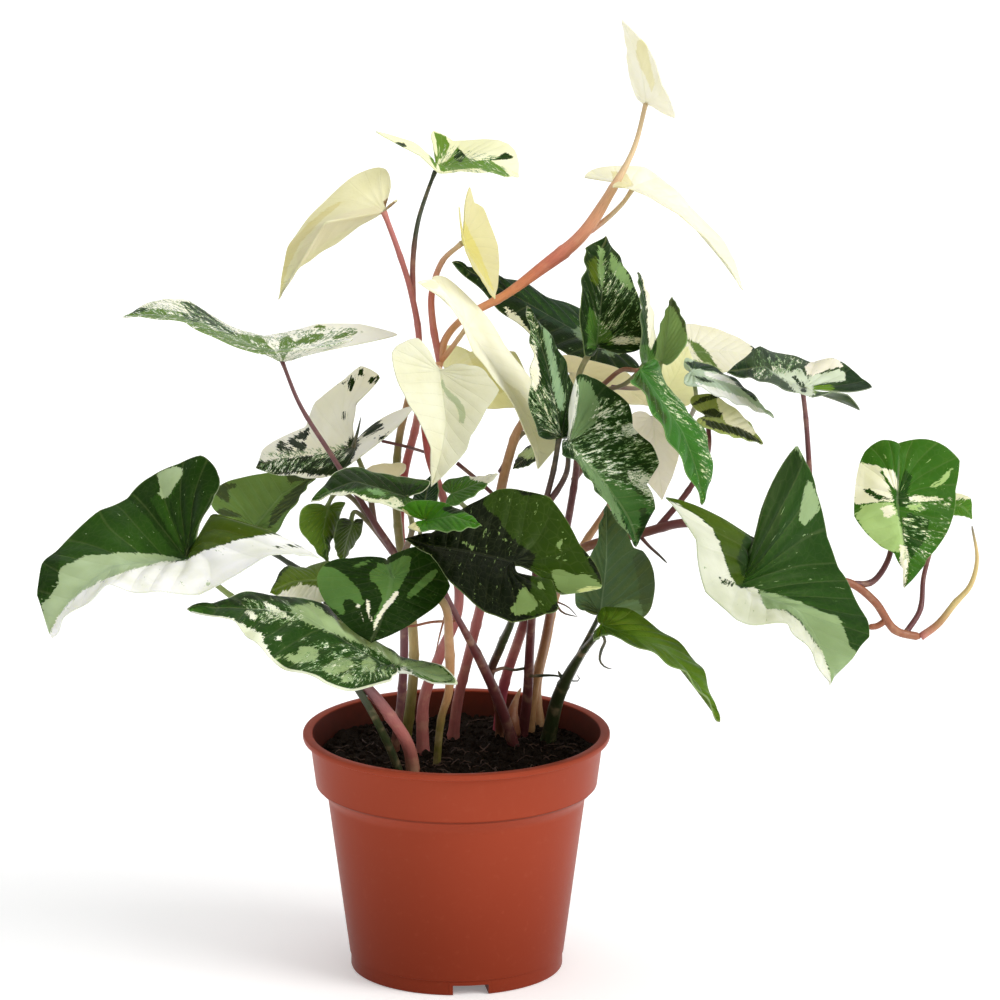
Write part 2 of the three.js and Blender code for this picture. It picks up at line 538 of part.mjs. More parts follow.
// ---- Stems ----
// A stem's tubes grow together into one piece. Each tube starts in the soil at `soil`, in
// millimetres right of and behind the pot's axis, or on its parent at the first `via` point, and
// ends under its leaf's joint or at the last `via` point. `radius` is spread evenly from its start
// to its end. A tube with `start` begins that many millimetres along from its first point.
const STEMS = {
  vine_main: [
    {
      soil: [-13, 1],
      via: [
        [424, 700, -4], [440, 655, -10], [458, 610, -16], [456, 560, -20], [446, 507, -20],
        [428, 452, -18], [426, 405, -14], [440, 362, -12], [445, 340, -8], [464, 318, 2],
        [505, 295, 8], [538, 271, 12], [581, 236, 16], [613, 188, 24], [634, 148, 32],
      ],
      radius: [2.5, 2.3, 2.1, 1.9, 1.8, 1.6, 1.5, 1.5, 1.4, 1.7, 2.7, 2.3, 1.1, 0.8],
      leaf: "leaf_top",
    },
    {
      via: [[583, 236, 17], [604, 221, 22], [622, 204, 24]],
      radius: [1.2, 0.8],
      leaf: "leaf_drooping_cream",
    },
    {
      via: [[440, 362, -12], [433, 325, -6], [432, 292, 4], [442, 262, 4]],
      radius: [1.5, 1.3, 0.9],
      leaf: "leaf_yellow",
    },
    { via: [[440, 362, -12], [450, 350, -14]], radius: [1.2, 0.8], leaf: "leaf_long_cream" },
    { via: [[440, 372, -12], [438, 368, -26]], radius: [1.4, 1], leaf: "leaf_cream_heart" },
  ],
  shoot_pale: [
    {
      soil: [-21, 14],
      via: [
        [411, 700, 10], [414, 660, 8], [411, 610, 4], [400, 545, 2], [396, 490, 2], [399, 440, 2],
        [408, 400, 0], [419, 345, 0], [411, 292, 2], [398, 250, 6],
      ],
      radius: [2.2, 1],
      leaf: "leaf_pale_left",
    },
    {
      via: [
        [403, 560, 3], [400, 520, 10], [405, 470, 10], [416, 425, 8], [420, 390, 4],
        [419, 350, 1],
      ],
      radius: [1.8, 1.4],
    },
    {
      via: [[413, 300, 2], [413, 260, 8], [418, 222, 18], [428, 190, 26]],
      radius: [1.2, 0.7],
      leaf: "leaf_small_top",
    },
  ],
  shoot_left: [
    {
      soil: [-25, 4],
      via: [
        [402, 690, -10], [404, 630, -22], [399, 565, -26], [374, 522, -30], [332, 456, -30],
        [300, 405, -22],
      ],
      radius: [1.8, 1.7, 1.5, 1, 0.7],
      leaf: "leaf_wing_left",
    },
    { via: [[374, 522, -30], [368, 485, -18]], radius: [1.3, 0.9], leaf: "leaf_speckled" },
    { via: [[399, 565, -26], [412, 530, -34]], radius: [1.3, 0.9], leaf: "leaf_shelf_left" },
    {
      via: [[392, 552, -27], [368, 522, -26], [354, 512, -34]],
      radius: [1.1, 0.8],
      leaf: "leaf_curled_left",
    },
    {
      via: [[385, 540, -28], [352, 498, -24], [335, 494, -36]],
      radius: [1.1, 0.8],
      leaf: "leaf_hanging_left",
    },
  ],
  petioles_front_left: [
    {
      soil: [-20, -27],
      via: [[388, 744, -32], [357, 688, -46], [318, 640, -50], [240, 602, -50]],
      radius: [1.7, 1],
      leaf: "leaf_big_left",
    },
    { via: [[350, 676, -47], [322, 620, -56]], radius: [1.2, 0.8], leaf: "leaf_olive_left" },
    {
      soil: [-16, -27],
      via: [
        [409, 748, -30], [390, 716, -36], [366, 687, -43], [340, 666, -48.5], [322, 590, -44],
        [284, 560, -28], [262, 546, -16],
      ],
      radius: [2.6, 2.4, 2, 1.4, 1, 0.8],
      leaf: "leaf_sage_left",
    },
    {
      via: [[352, 680, -47], [368, 678, -66], [388, 672, -84]],
      radius: [1.4, 1],
      leaf: "leaf_front_left",
    },
  ],
  petiole_front_facing: [
    {
      soil: [-8, -14],
      via: [[441, 720, -24], [449, 690, -34], [449, 640, -48], [444, 604, -60], [418, 582, -68]],
      radius: [1.4, 1.5, 1.9, 1.6, 1],
      leaf: "leaf_front_facing",
    },
  ],
  petiole_bright_small: [
    {
      soil: [24, 10],
      via: [[503, 712, 2], [481, 662, -20], [450, 603, -42], [430, 560, -46], [420, 534, -60]],
      radius: [2.1, 2.1, 1.9, 1.1, 0.9, 0.8],
      leaf: "leaf_bright_small",
    },
  ],
  petiole_dark_centre: [
    {
      soil: [17, 21],
      via: [[498, 706, 12], [490, 680, 3], [501, 646, -22], [513, 615, -56], [514, 584, -72]],
      radius: [1.6, 1.6, 1.7, 1.3, 1.1],
      leaf: "leaf_dark_centre",
    },
  ],
  stem_centre: [
    {
      soil: [-2, 24],
      via: [
        [458, 700, 18], [470, 650, 10], [482, 600, 2], [494, 540, -4], [502, 485, -4],
        [514, 440, 8], [526, 412, 26], [516, 388, 42], [484, 378, 44], [458, 376, 34],
      ],
      radius: [2.2, 2, 2, 2, 1.8, 1.2, 1],
      leaf: "leaf_cream_behind_heart",
    },
    {
      via: [[500, 472, -2], [526, 432, 12], [548, 440, 10]],
      radius: [1, 0.7],
      leaf: "leaf_small_behind",
    },
    { via: [[494, 540, -4], [470, 512, -22]], radius: [1.2, 0.8], leaf: "leaf_small_centre" },
    {
      via: [[482, 600, 2], [452, 552, -10], [436, 520, -22]],
      radius: [1.1, 0.8],
      leaf: "leaf_narrow_centre",
    },
    {
      via: [[486, 580, 0], [440, 520, 2], [416, 492, -2]],
      radius: [1.1, 0.8],
      leaf: "leaf_cream_strip",
    },
  ],
  stem_marbled: [
    {
      soil: [25, 27],
      via: [[527, 700, 20], [530, 645, 6], [534, 590, -10], [544, 510, -26], [554, 468, -32]],
      radius: [2.2, 1],
      leaf: "leaf_marbled_narrow",
    },
    { via: [[544, 510, -26], [566, 474, -34]], radius: [1.3, 0.9], leaf: "leaf_marbled_big" },
  ],
  stem_back: [
    {
      soil: [28, 33],
      via: [
        [534, 690, 30], [545, 640, 24], [556, 580, 14], [570, 510, 4], [577, 460, 2],
        [576, 410, 1], [580, 372, -3],
      ],
      radius: [2, 1.1],
      leaf: "leaf_dark_upright",
    },
    { via: [[577, 450, 2], [574, 405, 27]], radius: [1.1, 0.8], leaf: "leaf_cream_back" },
    {
      via: [[574, 480, 2], [612, 420, 36], [604, 372, 48]],
      radius: [1.3, 0.9],
      leaf: "leaf_dark_long",
    },
    {
      via: [[576, 410, 1], [604, 384, -10], [622, 370, -18]],
      radius: [1.2, 0.8],
      leaf: "leaf_hanging_green",
    },
    { via: [[592, 392, -5], [625, 384, -4]], radius: [1, 0.7], leaf: "leaf_thin_upright" },
    {
      via: [[612, 387, -4], [640, 388, 4], [658, 380, 14]],
      radius: [0.9, 0.7],
      leaf: "leaf_sage_upright",
    },
  ],
  stem_back_right: [
    {
      soil: [34, 37],
      via: [
        [537, 690, 40], [547, 640, 40], [558, 590, 40], [580, 550, 42], [610, 505, 44],
        [640, 450, 44], [668, 400, 44],
      ],
      radius: [1.8, 1],
      leaf: "leaf_cream_back_right",
    },
    { via: [[611, 504, 44], [640, 445, 34]], radius: [1.1, 0.8], leaf: "leaf_cream_back_centre" },
    {
      via: [[646, 438, 44], [680, 426, 42], [696, 396, 14]],
      radius: [1.1, 0.8],
      leaf: "leaf_pale_right",
    },
    { via: [[652, 428, 44], [660, 408, 38]], radius: [1, 0.7], leaf: "leaf_yellow_tuck" },
  ],
  runner_right: [
    {
      soil: [16, 36],
      via: [
        [503, 690, 26], [515, 650, 14], [540, 590, 0], [580, 550, -8], [642, 533, -12],
        [690, 523, -14], [760, 545, -4], [820, 580, 4], [850, 583, 8], [875, 602, 10],
        [895, 630, 12], [920, 637, 16],
      ],
      radius: [2.1, 2, 1.9, 1.8, 1.7, 1.6, 1.6],
    },
    {
      via: [[655, 531, -13], [690, 488, -10], [708, 452, -10]],
      radius: [1.3, 0.9],
      leaf: "leaf_olive_right",
    },
    { via: [[760, 545, -4], [750, 570, -14]], radius: [1.6, 1.2], leaf: "leaf_big_right" },
    {
      via: [[820, 580, 4], [812, 520, 8], [809, 463, 8], [806, 420, 6]],
      radius: [1.3, 0.9],
      leaf: "leaf_right_umbrella",
    },
    {
      via: [[852, 584, 8], [872, 582, 12], [888, 560, 16], [894, 525, 22]],
      radius: [1.3, 0.9],
      leaf: "leaf_right_heart",
    },
    {
      via: [[905, 634, 14], [920, 610, 20], [924, 575, 28], [938, 530, 34]],
      radius: [1.2, 0.7],
      leaf: "leaf_tiny_right",
    },
  ],
  petioles_front_right: [
    {
      soil: [35, 19],
      via: [[555, 708, 12], [563, 686, 2], [580, 656, -16]],
      radius: [3, 2.5, 1.5, 1.2],
      leaf: "leaf_drooping_front",
    },
    { via: [[572, 668, -8], [590, 634, -28]], radius: [1.2, 0.9], leaf: "leaf_grey_underside" },
  ],
  // The rolled new leaf that points up from the runner's end.
  spike_leaf: [
    {
      via: [
        [920.5, 637, 16], [938, 624, 17], [955, 603, 18], [970, 586, 18], [977, 560, 18],
        [972, 526, 18],
      ],
      radius: [1.6, 1.3, 0.9, 0.4],
      start: 1.5,
    },
  ],
};
const SOIL_DEPTH = 5; // how far a tube reaches below the soil's surface before it is cut off

// The value at `share` of the way along a list of evenly spaced values.
function spread(values, share) {
  const at = share * (values.length - 1);
  const low = Math.min(Math.floor(at), values.length - 2);
  return THREE.MathUtils.lerp(values[low], values[low + 1], at - low);
}

function tubeGeometry(points, radii) {
  const curve = new THREE.CatmullRomCurve3(points, false, "centripetal");
  const steps = points.length + EXTRA_RINGS;
  const frames = curve.computeFrenetFrames(steps, false);
  const positions = [];
  for (let i = 0; i <= steps; i++) {
    const centre = curve.getPointAt(i / steps);
    const radius = spread(radii, i / steps);
    for (let k = 0; k < STEM_SIDES; k++) {
      const turn = (2 * Math.PI * k) / STEM_SIDES;
      const spoke = frames.normals[i].clone().multiplyScalar(Math.cos(turn));
      spoke.addScaledVector(frames.binormals[i], Math.sin(turn));
      positions.push(...centre.clone().addScaledVector(spoke, radius).toArray());
    }
  }
  const index = [];
  for (let i = 0; i < steps; i++) {
    for (let k = 0; k < STEM_SIDES; k++) {
      const a = i * STEM_SIDES + k;
      const b = i * STEM_SIDES + ((k + 1) % STEM_SIDES);
      index.push(a, b, b + STEM_SIDES, a, b + STEM_SIDES, a + STEM_SIDES);
    }
  }
  const end = steps * STEM_SIDES;
  for (let k = 1; k < STEM_SIDES - 1; k++) index.push(0, k + 1, k, end, end + k, end + k + 1);
  return closedGeometry(positions, index);
}

// The end of a petiole: just under the blade at its joint, clear of it at any slant.
function underJoint(leaf, previous, radius) {
  const surface = bladeSurface(leaf);
  const normal = bladeNormal(surface, 0, 0);
  const joint = surface(0, 0);
  const arrival = joint.clone().sub(previous).normalize();
  const slant = arrival.clone().cross(normal).length();
  return joint.addScaledVector(normal, -(BLADE / 2 + SEAT + radius * (slant + END_INSET)));
}

function stemTube(tube) {
  const points = tube.via.map(place);
  if (tube.soil) points.unshift(new THREE.Vector3(...tube.soil, SOIL.level - SOIL_DEPTH));
  if (tube.start) {
    const away = points[1].clone().sub(points[0]).normalize();
    points[0].addScaledVector(away, tube.start);
  }
  if (tube.leaf) points.push(underJoint(LEAVES[tube.leaf], points.at(-1), tube.radius.at(-1)));
  return tubeGeometry(points, tube.radius);
}

// ---- Solids ----
function solidOf(geometry) {
  const bare = new THREE.BufferGeometry();
  bare.setAttribute("position", geometry.getAttribute("position"));
  bare.setIndex(geometry.getIndex());
  const merged = mergeVertices(bare, WELD);
  const vertProperties = merged.getAttribute("position").array;
  const triVerts = new Uint32Array(merged.getIndex().array);
  return new wasm.Manifold(new wasm.Mesh({ numProp: 3, vertProperties, triVerts }));
}

function geometryOf(solid) {
  const { numProp, vertProperties, triVerts } = solid.getMesh();
  const positions = [];
  for (let i = 0; i < vertProperties.length; i += numProp) {
    positions.push(vertProperties[i], vertProperties[i + 1], vertProperties[i + 2]);
  }
  return closedGeometry(positions, Array.from(triVerts));
}

// Turns a profile of [radius, height] points about +Z.
function turned(profile, sides) {
  const points = profile.map(([radius, height]) => new THREE.Vector2(radius, height));
  return new THREE.LatheGeometry(points, sides).rotateX(Math.PI / 2);
}

function stemGeometry(tubes) {
  const solids = tubes.map((tube) => solidOf(stemTube(tube)));
  const joined = solids.reduce((all, next) => all.add(next));
  if (!tubes[0].soil) return geometryOf(joined);
  const top = SOIL.level + SEAT;
  const profile = [[0, 0], [POT.rimRadius, 0], [POT.rimRadius, top], [0, top]];
  return geometryOf(joined.subtract(solidOf(turned(profile, SOIL.sides))));
}

// ---- Pot ----
// Outer radius of the body between the foot and the cove under the collar.
function bodyRadius(height) {
  const share = (height - POT.footHeight) / (POT.coveBottom - POT.footHeight);
  return THREE.MathUtils.lerp(POT.footRadius + POT.footStep, POT.bodyTopRadius, share);
}

const innerRadiusAt = {
  floor: POT.footRadius - POT.wall,
  cove: POT.bodyTopRadius - POT.wall,
  band: POT.bandBottomRadius - POT.wall,
  lip: POT.bandTopRadius - POT.wall,
};

function potGeometry() {
  const lipBottom = POT.height - POT.lipHeight;
  const round = POT.edgeRound;
  const profile = [
    [0, 0],
    [POT.footRadius - round, 0],
    [POT.footRadius, round],
    [POT.footRadius, POT.footHeight - round],
    [bodyRadius(POT.footHeight), POT.footHeight],
    [POT.bodyTopRadius, POT.coveBottom],
    [POT.coveMiddleRadius, POT.coveMiddle],
    [POT.bandBottomRadius - round, POT.bandBottom - round],
    [POT.bandBottomRadius, POT.bandBottom + round],
    [POT.bandTopRadius, lipBottom - round],
    [POT.rimRadius - round, lipBottom],
    [POT.rimRadius, lipBottom + round],
    [POT.rimRadius - round, POT.height],
    [innerRadiusAt.lip + round, POT.height],
    [innerRadiusAt.lip, POT.height - round],
    [innerRadiusAt.band, POT.bandBottom],
    [innerRadiusAt.cove, POT.coveBottom],
    [innerRadiusAt.floor, POT.floor],
    [0, POT.floor],
  ];
  let pot = solidOf(turned(profile, POT.sides));
  const roof = CHANNEL.height + CHANNEL.wall;
  for (let i = 0; i < CHANNEL.count; i++) {
    const angle = THREE.MathUtils.degToRad(CHANNEL.firstAngle + (360 / CHANNEL.count) * i);
    const bar = (from, to, width, low, high) =>
      solidOf(
        new THREE.BoxGeometry(to - from, width, high - low)
          .translate((from + to) / 2, 0, (low + high) / 2)
          .rotateZ(angle),
      );
    const coverWidth = CHANNEL.width + 2 * CHANNEL.wall;
    const coverInner = CHANNEL.inner - CHANNEL.wall;
    const cover = bar(coverInner, POT.footRadius - POT.wall / 2, coverWidth, POT.floor / 2, roof);
    const space = bar(CHANNEL.inner, POT.rimRadius, CHANNEL.width, -CHANNEL.height, CHANNEL.height);
    const { holeRadius, holeSides } = CHANNEL;
    const hole = solidOf(
      new THREE.CylinderGeometry(holeRadius, holeRadius, 2 * roof, holeSides)
        .rotateX(Math.PI / 2)
        .translate(CHANNEL.holeAt, 0, roof)
        .rotateZ(angle),
    );
    pot = pot.add(cover).subtract(space).subtract(hole);
  }
  return geometryOf(pot);
}

// ---- Soil ----
function soilGeometry() {
  const bottom = CHANNEL.height + CHANNEL.wall + SOIL.gap;
  const wallAt = (height) => {
    const share = (height - POT.floor) / (POT.coveBottom - POT.floor);
    return THREE.MathUtils.lerp(innerRadiusAt.floor, innerRadiusAt.cove, share);
  };
  const clearance = SOIL.gap + SOIL.facetInset;
  const bandShare = (SOIL.level - POT.bandBottom) / (POT.height - POT.bandBottom);
  const topRadius = THREE.MathUtils.lerp(innerRadiusAt.band, innerRadiusAt.lip, bandShare);
  const profile = [
    [0, bottom],
    [wallAt(bottom) - clearance, bottom],
    [innerRadiusAt.cove - clearance, POT.coveBottom],
    [innerRadiusAt.band - clearance, POT.bandBottom],
    [topRadius - clearance, SOIL.level],
    [0, SOIL.level],
  ];
  return turned(profile, SOIL.sides);
}

// ---- Materials ----
const finish = (color, roughness) => new THREE.MeshStandardMaterial({ color, roughness, metalness: 0 });
const terracotta = finish(0xa8502f, 0.45);
const peat = finish(0x1f1611, 0.95);
const stemSkin = finish(0xa0604a, 0.5);
const greenBlade = finish(0x2f5a24, 0.45);
const creamBlade = finish(0xf0ecd0, 0.5);

const CREAM_BLADES = [
  "leaf_top", "leaf_drooping_cream", "leaf_pale_left", "leaf_small_top", "leaf_yellow",
  "leaf_cream_heart", "leaf_long_cream", "leaf_cream_behind_heart", "leaf_yellow_tuck",
  "leaf_cream_back_right", "leaf_pale_right", "leaf_cream_back_centre", "leaf_cream_strip",
  "leaf_cream_back",
];

// ---- The plant ----
const plant = new THREE.Group();

function addPiece(name, geometry, material) {
  const mesh = new THREE.Mesh(geometry, material);
  mesh.name = name;
  plant.add(mesh);
}

addPiece("nursery_pot", potGeometry(), terracotta);
addPiece("soil", soilGeometry(), peat);
for (const [name, tubes] of Object.entries(STEMS)) addPiece(name, stemGeometry(tubes), stemSkin);
for (const [name, leaf] of Object.entries(LEAVES)) {
  addPiece(name, bladeGeometry(leaf), CREAM_BLADES.includes(name) ? creamBlade : greenBlade);
}

export default plant;
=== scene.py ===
"""A variegated arrowhead plant (Syngonium) in its 12 cm plastic nursery pot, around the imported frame.

The frame is in metres, +Z up. Its origin is the middle of the pot's underside, with the front towards
-Y. This script works in millimetres, and new_piece turns them into metres.
"""

import math

import bpy
import numpy as np
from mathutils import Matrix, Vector


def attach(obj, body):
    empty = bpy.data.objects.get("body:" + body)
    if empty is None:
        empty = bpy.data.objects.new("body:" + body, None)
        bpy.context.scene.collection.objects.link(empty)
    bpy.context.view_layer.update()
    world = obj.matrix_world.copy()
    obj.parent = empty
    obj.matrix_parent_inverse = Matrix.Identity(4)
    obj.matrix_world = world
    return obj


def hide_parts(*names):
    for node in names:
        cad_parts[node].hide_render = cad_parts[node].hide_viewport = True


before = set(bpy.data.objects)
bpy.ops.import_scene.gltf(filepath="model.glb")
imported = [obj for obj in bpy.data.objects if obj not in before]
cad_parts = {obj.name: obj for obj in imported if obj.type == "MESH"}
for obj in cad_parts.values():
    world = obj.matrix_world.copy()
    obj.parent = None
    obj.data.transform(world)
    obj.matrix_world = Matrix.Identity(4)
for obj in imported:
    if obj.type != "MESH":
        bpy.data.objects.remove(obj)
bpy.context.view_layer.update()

MM = 0.001
SEED = 8
FULL_TURN = 2 * math.pi
TINY = 1e-6
dice = np.random.default_rng(SEED)

# ---- The elevation sheet ----
# Leaves and stems are set out on a front elevation drawn in perspective. A place u,v,back is u units
# right and v units down on a sheet 1000 units square, seen by an eye in front of the pot that looks
# down at 15 degrees; `back` is its distance behind the pot's axis in millimetres.
SHEET_MIDDLE = 500
SHEET_SIZE = 1000
SHEET_FOCAL = 8018
SHEET_EYE = np.array([17, -3000, 992.1])
SHEET_PITCH = math.radians(15)
SIGHT_LINE = np.array([0, math.cos(SHEET_PITCH), -math.sin(SHEET_PITCH)])
SHEET_UP = np.array([0, math.sin(SHEET_PITCH), math.cos(SHEET_PITCH)])


def numbers(text):
    """The rows of numbers in a text, where each word, such as 647,103,40, is one row."""
    return [[float(part) for part in word.split(",")] for word in text.split()]


def place(landmarks):
    """Places of the sheet, as points in space."""
    u, v, back = np.array(landmarks, float).T
    ray = SIGHT_LINE + (SHEET_MIDDLE - v)[:, None] / SHEET_FOCAL * SHEET_UP
    ray[:, 0] += (u - SHEET_MIDDLE) / SHEET_FOCAL
    return SHEET_EYE + ray * ((back - SHEET_EYE[1]) / ray[:, 1])[:, None]


def on_sheet(points):
    """Where points in space are seen on the sheet, as rows of u and v."""
    from_eye = points - SHEET_EYE
    depth = from_eye @ SIGHT_LINE
    u = SHEET_MIDDLE + SHEET_FOCAL * from_eye[:, 0] / depth
    v = SHEET_MIDDLE - SHEET_FOCAL * (from_eye @ SHEET_UP) / depth
    return np.column_stack([u, v])


# ---- Meshes ----
def new_piece(name, points, faces, material=None, smooth=True):
    mesh = bpy.data.meshes.new(name)
    mesh.from_pydata((np.asarray(points) * MM).tolist(), [], faces)
    mesh.update()
    if material:
        mesh.materials.append(material)
    mesh.polygons.foreach_set("use_smooth", np.full(len(mesh.polygons), smooth))
    piece = bpy.data.objects.new(name, mesh)
    bpy.context.scene.collection.objects.link(piece)
    return piece


def hand_over(piece, node=None):
    """Sets a piece on the plant's one body, in place of the node it replaces."""
    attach(piece, "root")
    if node:
        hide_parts(node)


def give_attribute(mesh, name, values):
    values = np.asarray(values, np.float32)
    kind = "FLOAT" if values.ndim == 1 else "FLOAT_COLOR"
    layer = mesh.attributes.new(name, kind, "POINT")
    layer.data.foreach_set("value" if kind == "FLOAT" else "color", values.ravel())


def joined(shells):
    """The points and faces of many shells, as one list of each."""
    points, faces, count = [], [], 0
    for shell_points, shell_faces in shells:
        points.append(shell_points)
        faces += [tuple(i + count for i in face) for face in shell_faces]
        count += len(shell_points)
    return np.vstack(points), faces


def angles_round(sides):
    return np.arange(sides) * FULL_TURN / sides


def walls(rings, sides):
    """The faces between a number of rings that follow each other, with `sides` points in each."""
    faces = []
    for a in range(0, (rings - 1) * sides, sides):
        for k in range(sides):
            n = (k + 1) % sides
            faces.append((a + k, a + n, a + sides + n, a + sides + k))
    return faces


def turned(profile, sides):
    """The closed surface of a profile of [radius, height] turned about +Z, from axis to axis."""
    angles = angles_round(sides)
    x, y = np.cos(angles), np.sin(angles)
    rings = [np.column_stack([r * x, r * y, np.full(sides, float(z))]) for r, z in profile[1:-1]]
    ends = [[0, 0, profile[0][1]], [0, 0, profile[-1][1]]]
    start, last = len(rings) * sides, (len(rings) - 1) * sides
    faces = walls(len(rings), sides)
    for k in range(sides):
        n = (k + 1) % sides
        faces.append((start, n, k))
        faces.append((start + 1, last + k, last + n))
    return np.vstack([*rings, ends]), faces


def step_lengths(path):
    return np.linalg.norm(np.diff(path, axis=0), axis=1)


CURVE_PIECES = 24  # straight pieces between two points of a curve, before it is spaced evenly


def curve_through(points, count):
    """`count` evenly spaced points along the centripetal Catmull-Rom curve through `points`."""
    p = np.array(points, float)
    p = np.vstack([2 * p[0] - p[1], p, 2 * p[-1] - p[-2]])
    found = []
    for a, b, c, d in zip(p, p[1:], p[2:], p[3:]):
        gaps = [max(np.linalg.norm(q - r), TINY) ** 0.5 for q, r in ((b, a), (c, b), (d, c))]
        t0, t1, t2, t3 = 0, gaps[0], gaps[0] + gaps[1], sum(gaps)
        t = np.linspace(t1, t2, CURVE_PIECES, endpoint=False)[:, None]
        ab = (t1 - t) / (t1 - t0) * a + (t - t0) / (t1 - t0) * b
        bc = (t2 - t) / (t2 - t1) * b + (t - t1) / (t2 - t1) * c
        cd = (t3 - t) / (t3 - t2) * c + (t - t2) / (t3 - t2) * d
        abc = (t2 - t) / (t2 - t0) * ab + (t - t0) / (t2 - t0) * bc
        bcd = (t3 - t) / (t3 - t1) * bc + (t - t1) / (t3 - t1) * cd
        found.append((t2 - t) / (t2 - t1) * abc + (t - t1) / (t2 - t1) * bcd)
    found = np.vstack([*found, p[-2:-1]])
    run = np.concatenate([[0], np.cumsum(step_lengths(found))])
    at = np.linspace(0, run[-1], count)
    return np.column_stack([np.interp(at, run, column) for column in found.T])


def spread(values, shares):
    """A list's values, evenly spaced along a length, read at each share of that length."""
    values = np.array(values, float)
    at = np.arange(len(values)) / max(len(values) - 1, 1)
    if values.ndim == 1:
        return np.interp(shares, at, values)
    return np.column_stack([np.interp(shares, at, column) for column in values.T])


UNLIKE_ANY_PATH = [0.3, 0.8, 0.52]  # a direction that no path starts in


def sweep(path, radii, sides):
    """The points and faces of a closed tube round a path, ring by ring."""
    ahead = np.gradient(path, axis=0)
    ahead /= np.linalg.norm(ahead, axis=1)[:, None]
    aside = np.cross(ahead[0], UNLIKE_ANY_PATH)
    angles = angles_round(sides)[:, None]
    rings = []
    for centre, forward, radius in zip(path, ahead, radii):
        aside = aside - forward * (aside @ forward)
        aside = aside / np.linalg.norm(aside)
        spokes = np.cos(angles) * aside + np.sin(angles) * np.cross(forward, aside)
        rings.append(centre + spokes * radius)
    end = (len(path) - 1) * sides
    caps = [tuple(range(sides))[::-1], tuple(end + k for k in range(sides))]
    return np.vstack(rings), walls(len(path), sides) + caps


# ---- Leaf shapes ----
# Each blade is one arrowhead outline, bent so that its landmarks come to their own places: the
# spine's joint, middle and tip, and on each side the basal lobe's tip, the widest point and the
# flank. Left and right are as seen from the joint, looking to the tip with the upper side up.
def blade(spine, left, right, extra="", margin="", sinus=1):
    """A blade's landmarks, each a place u,v,back.

    In `margin` a place stands behind its point's number in HALF_OUTLINE, with a minus for the left
    side, and in `extra` behind its station, as across,along,u,v,back. `sinus` is the share of the
    usual gap that is left between the basal lobes.
    """
    return {"places": [*numbers(spine), *numbers(left), *numbers(right)], "extra": numbers(extra),
            "margin": numbers(margin), "sinus": sinus}


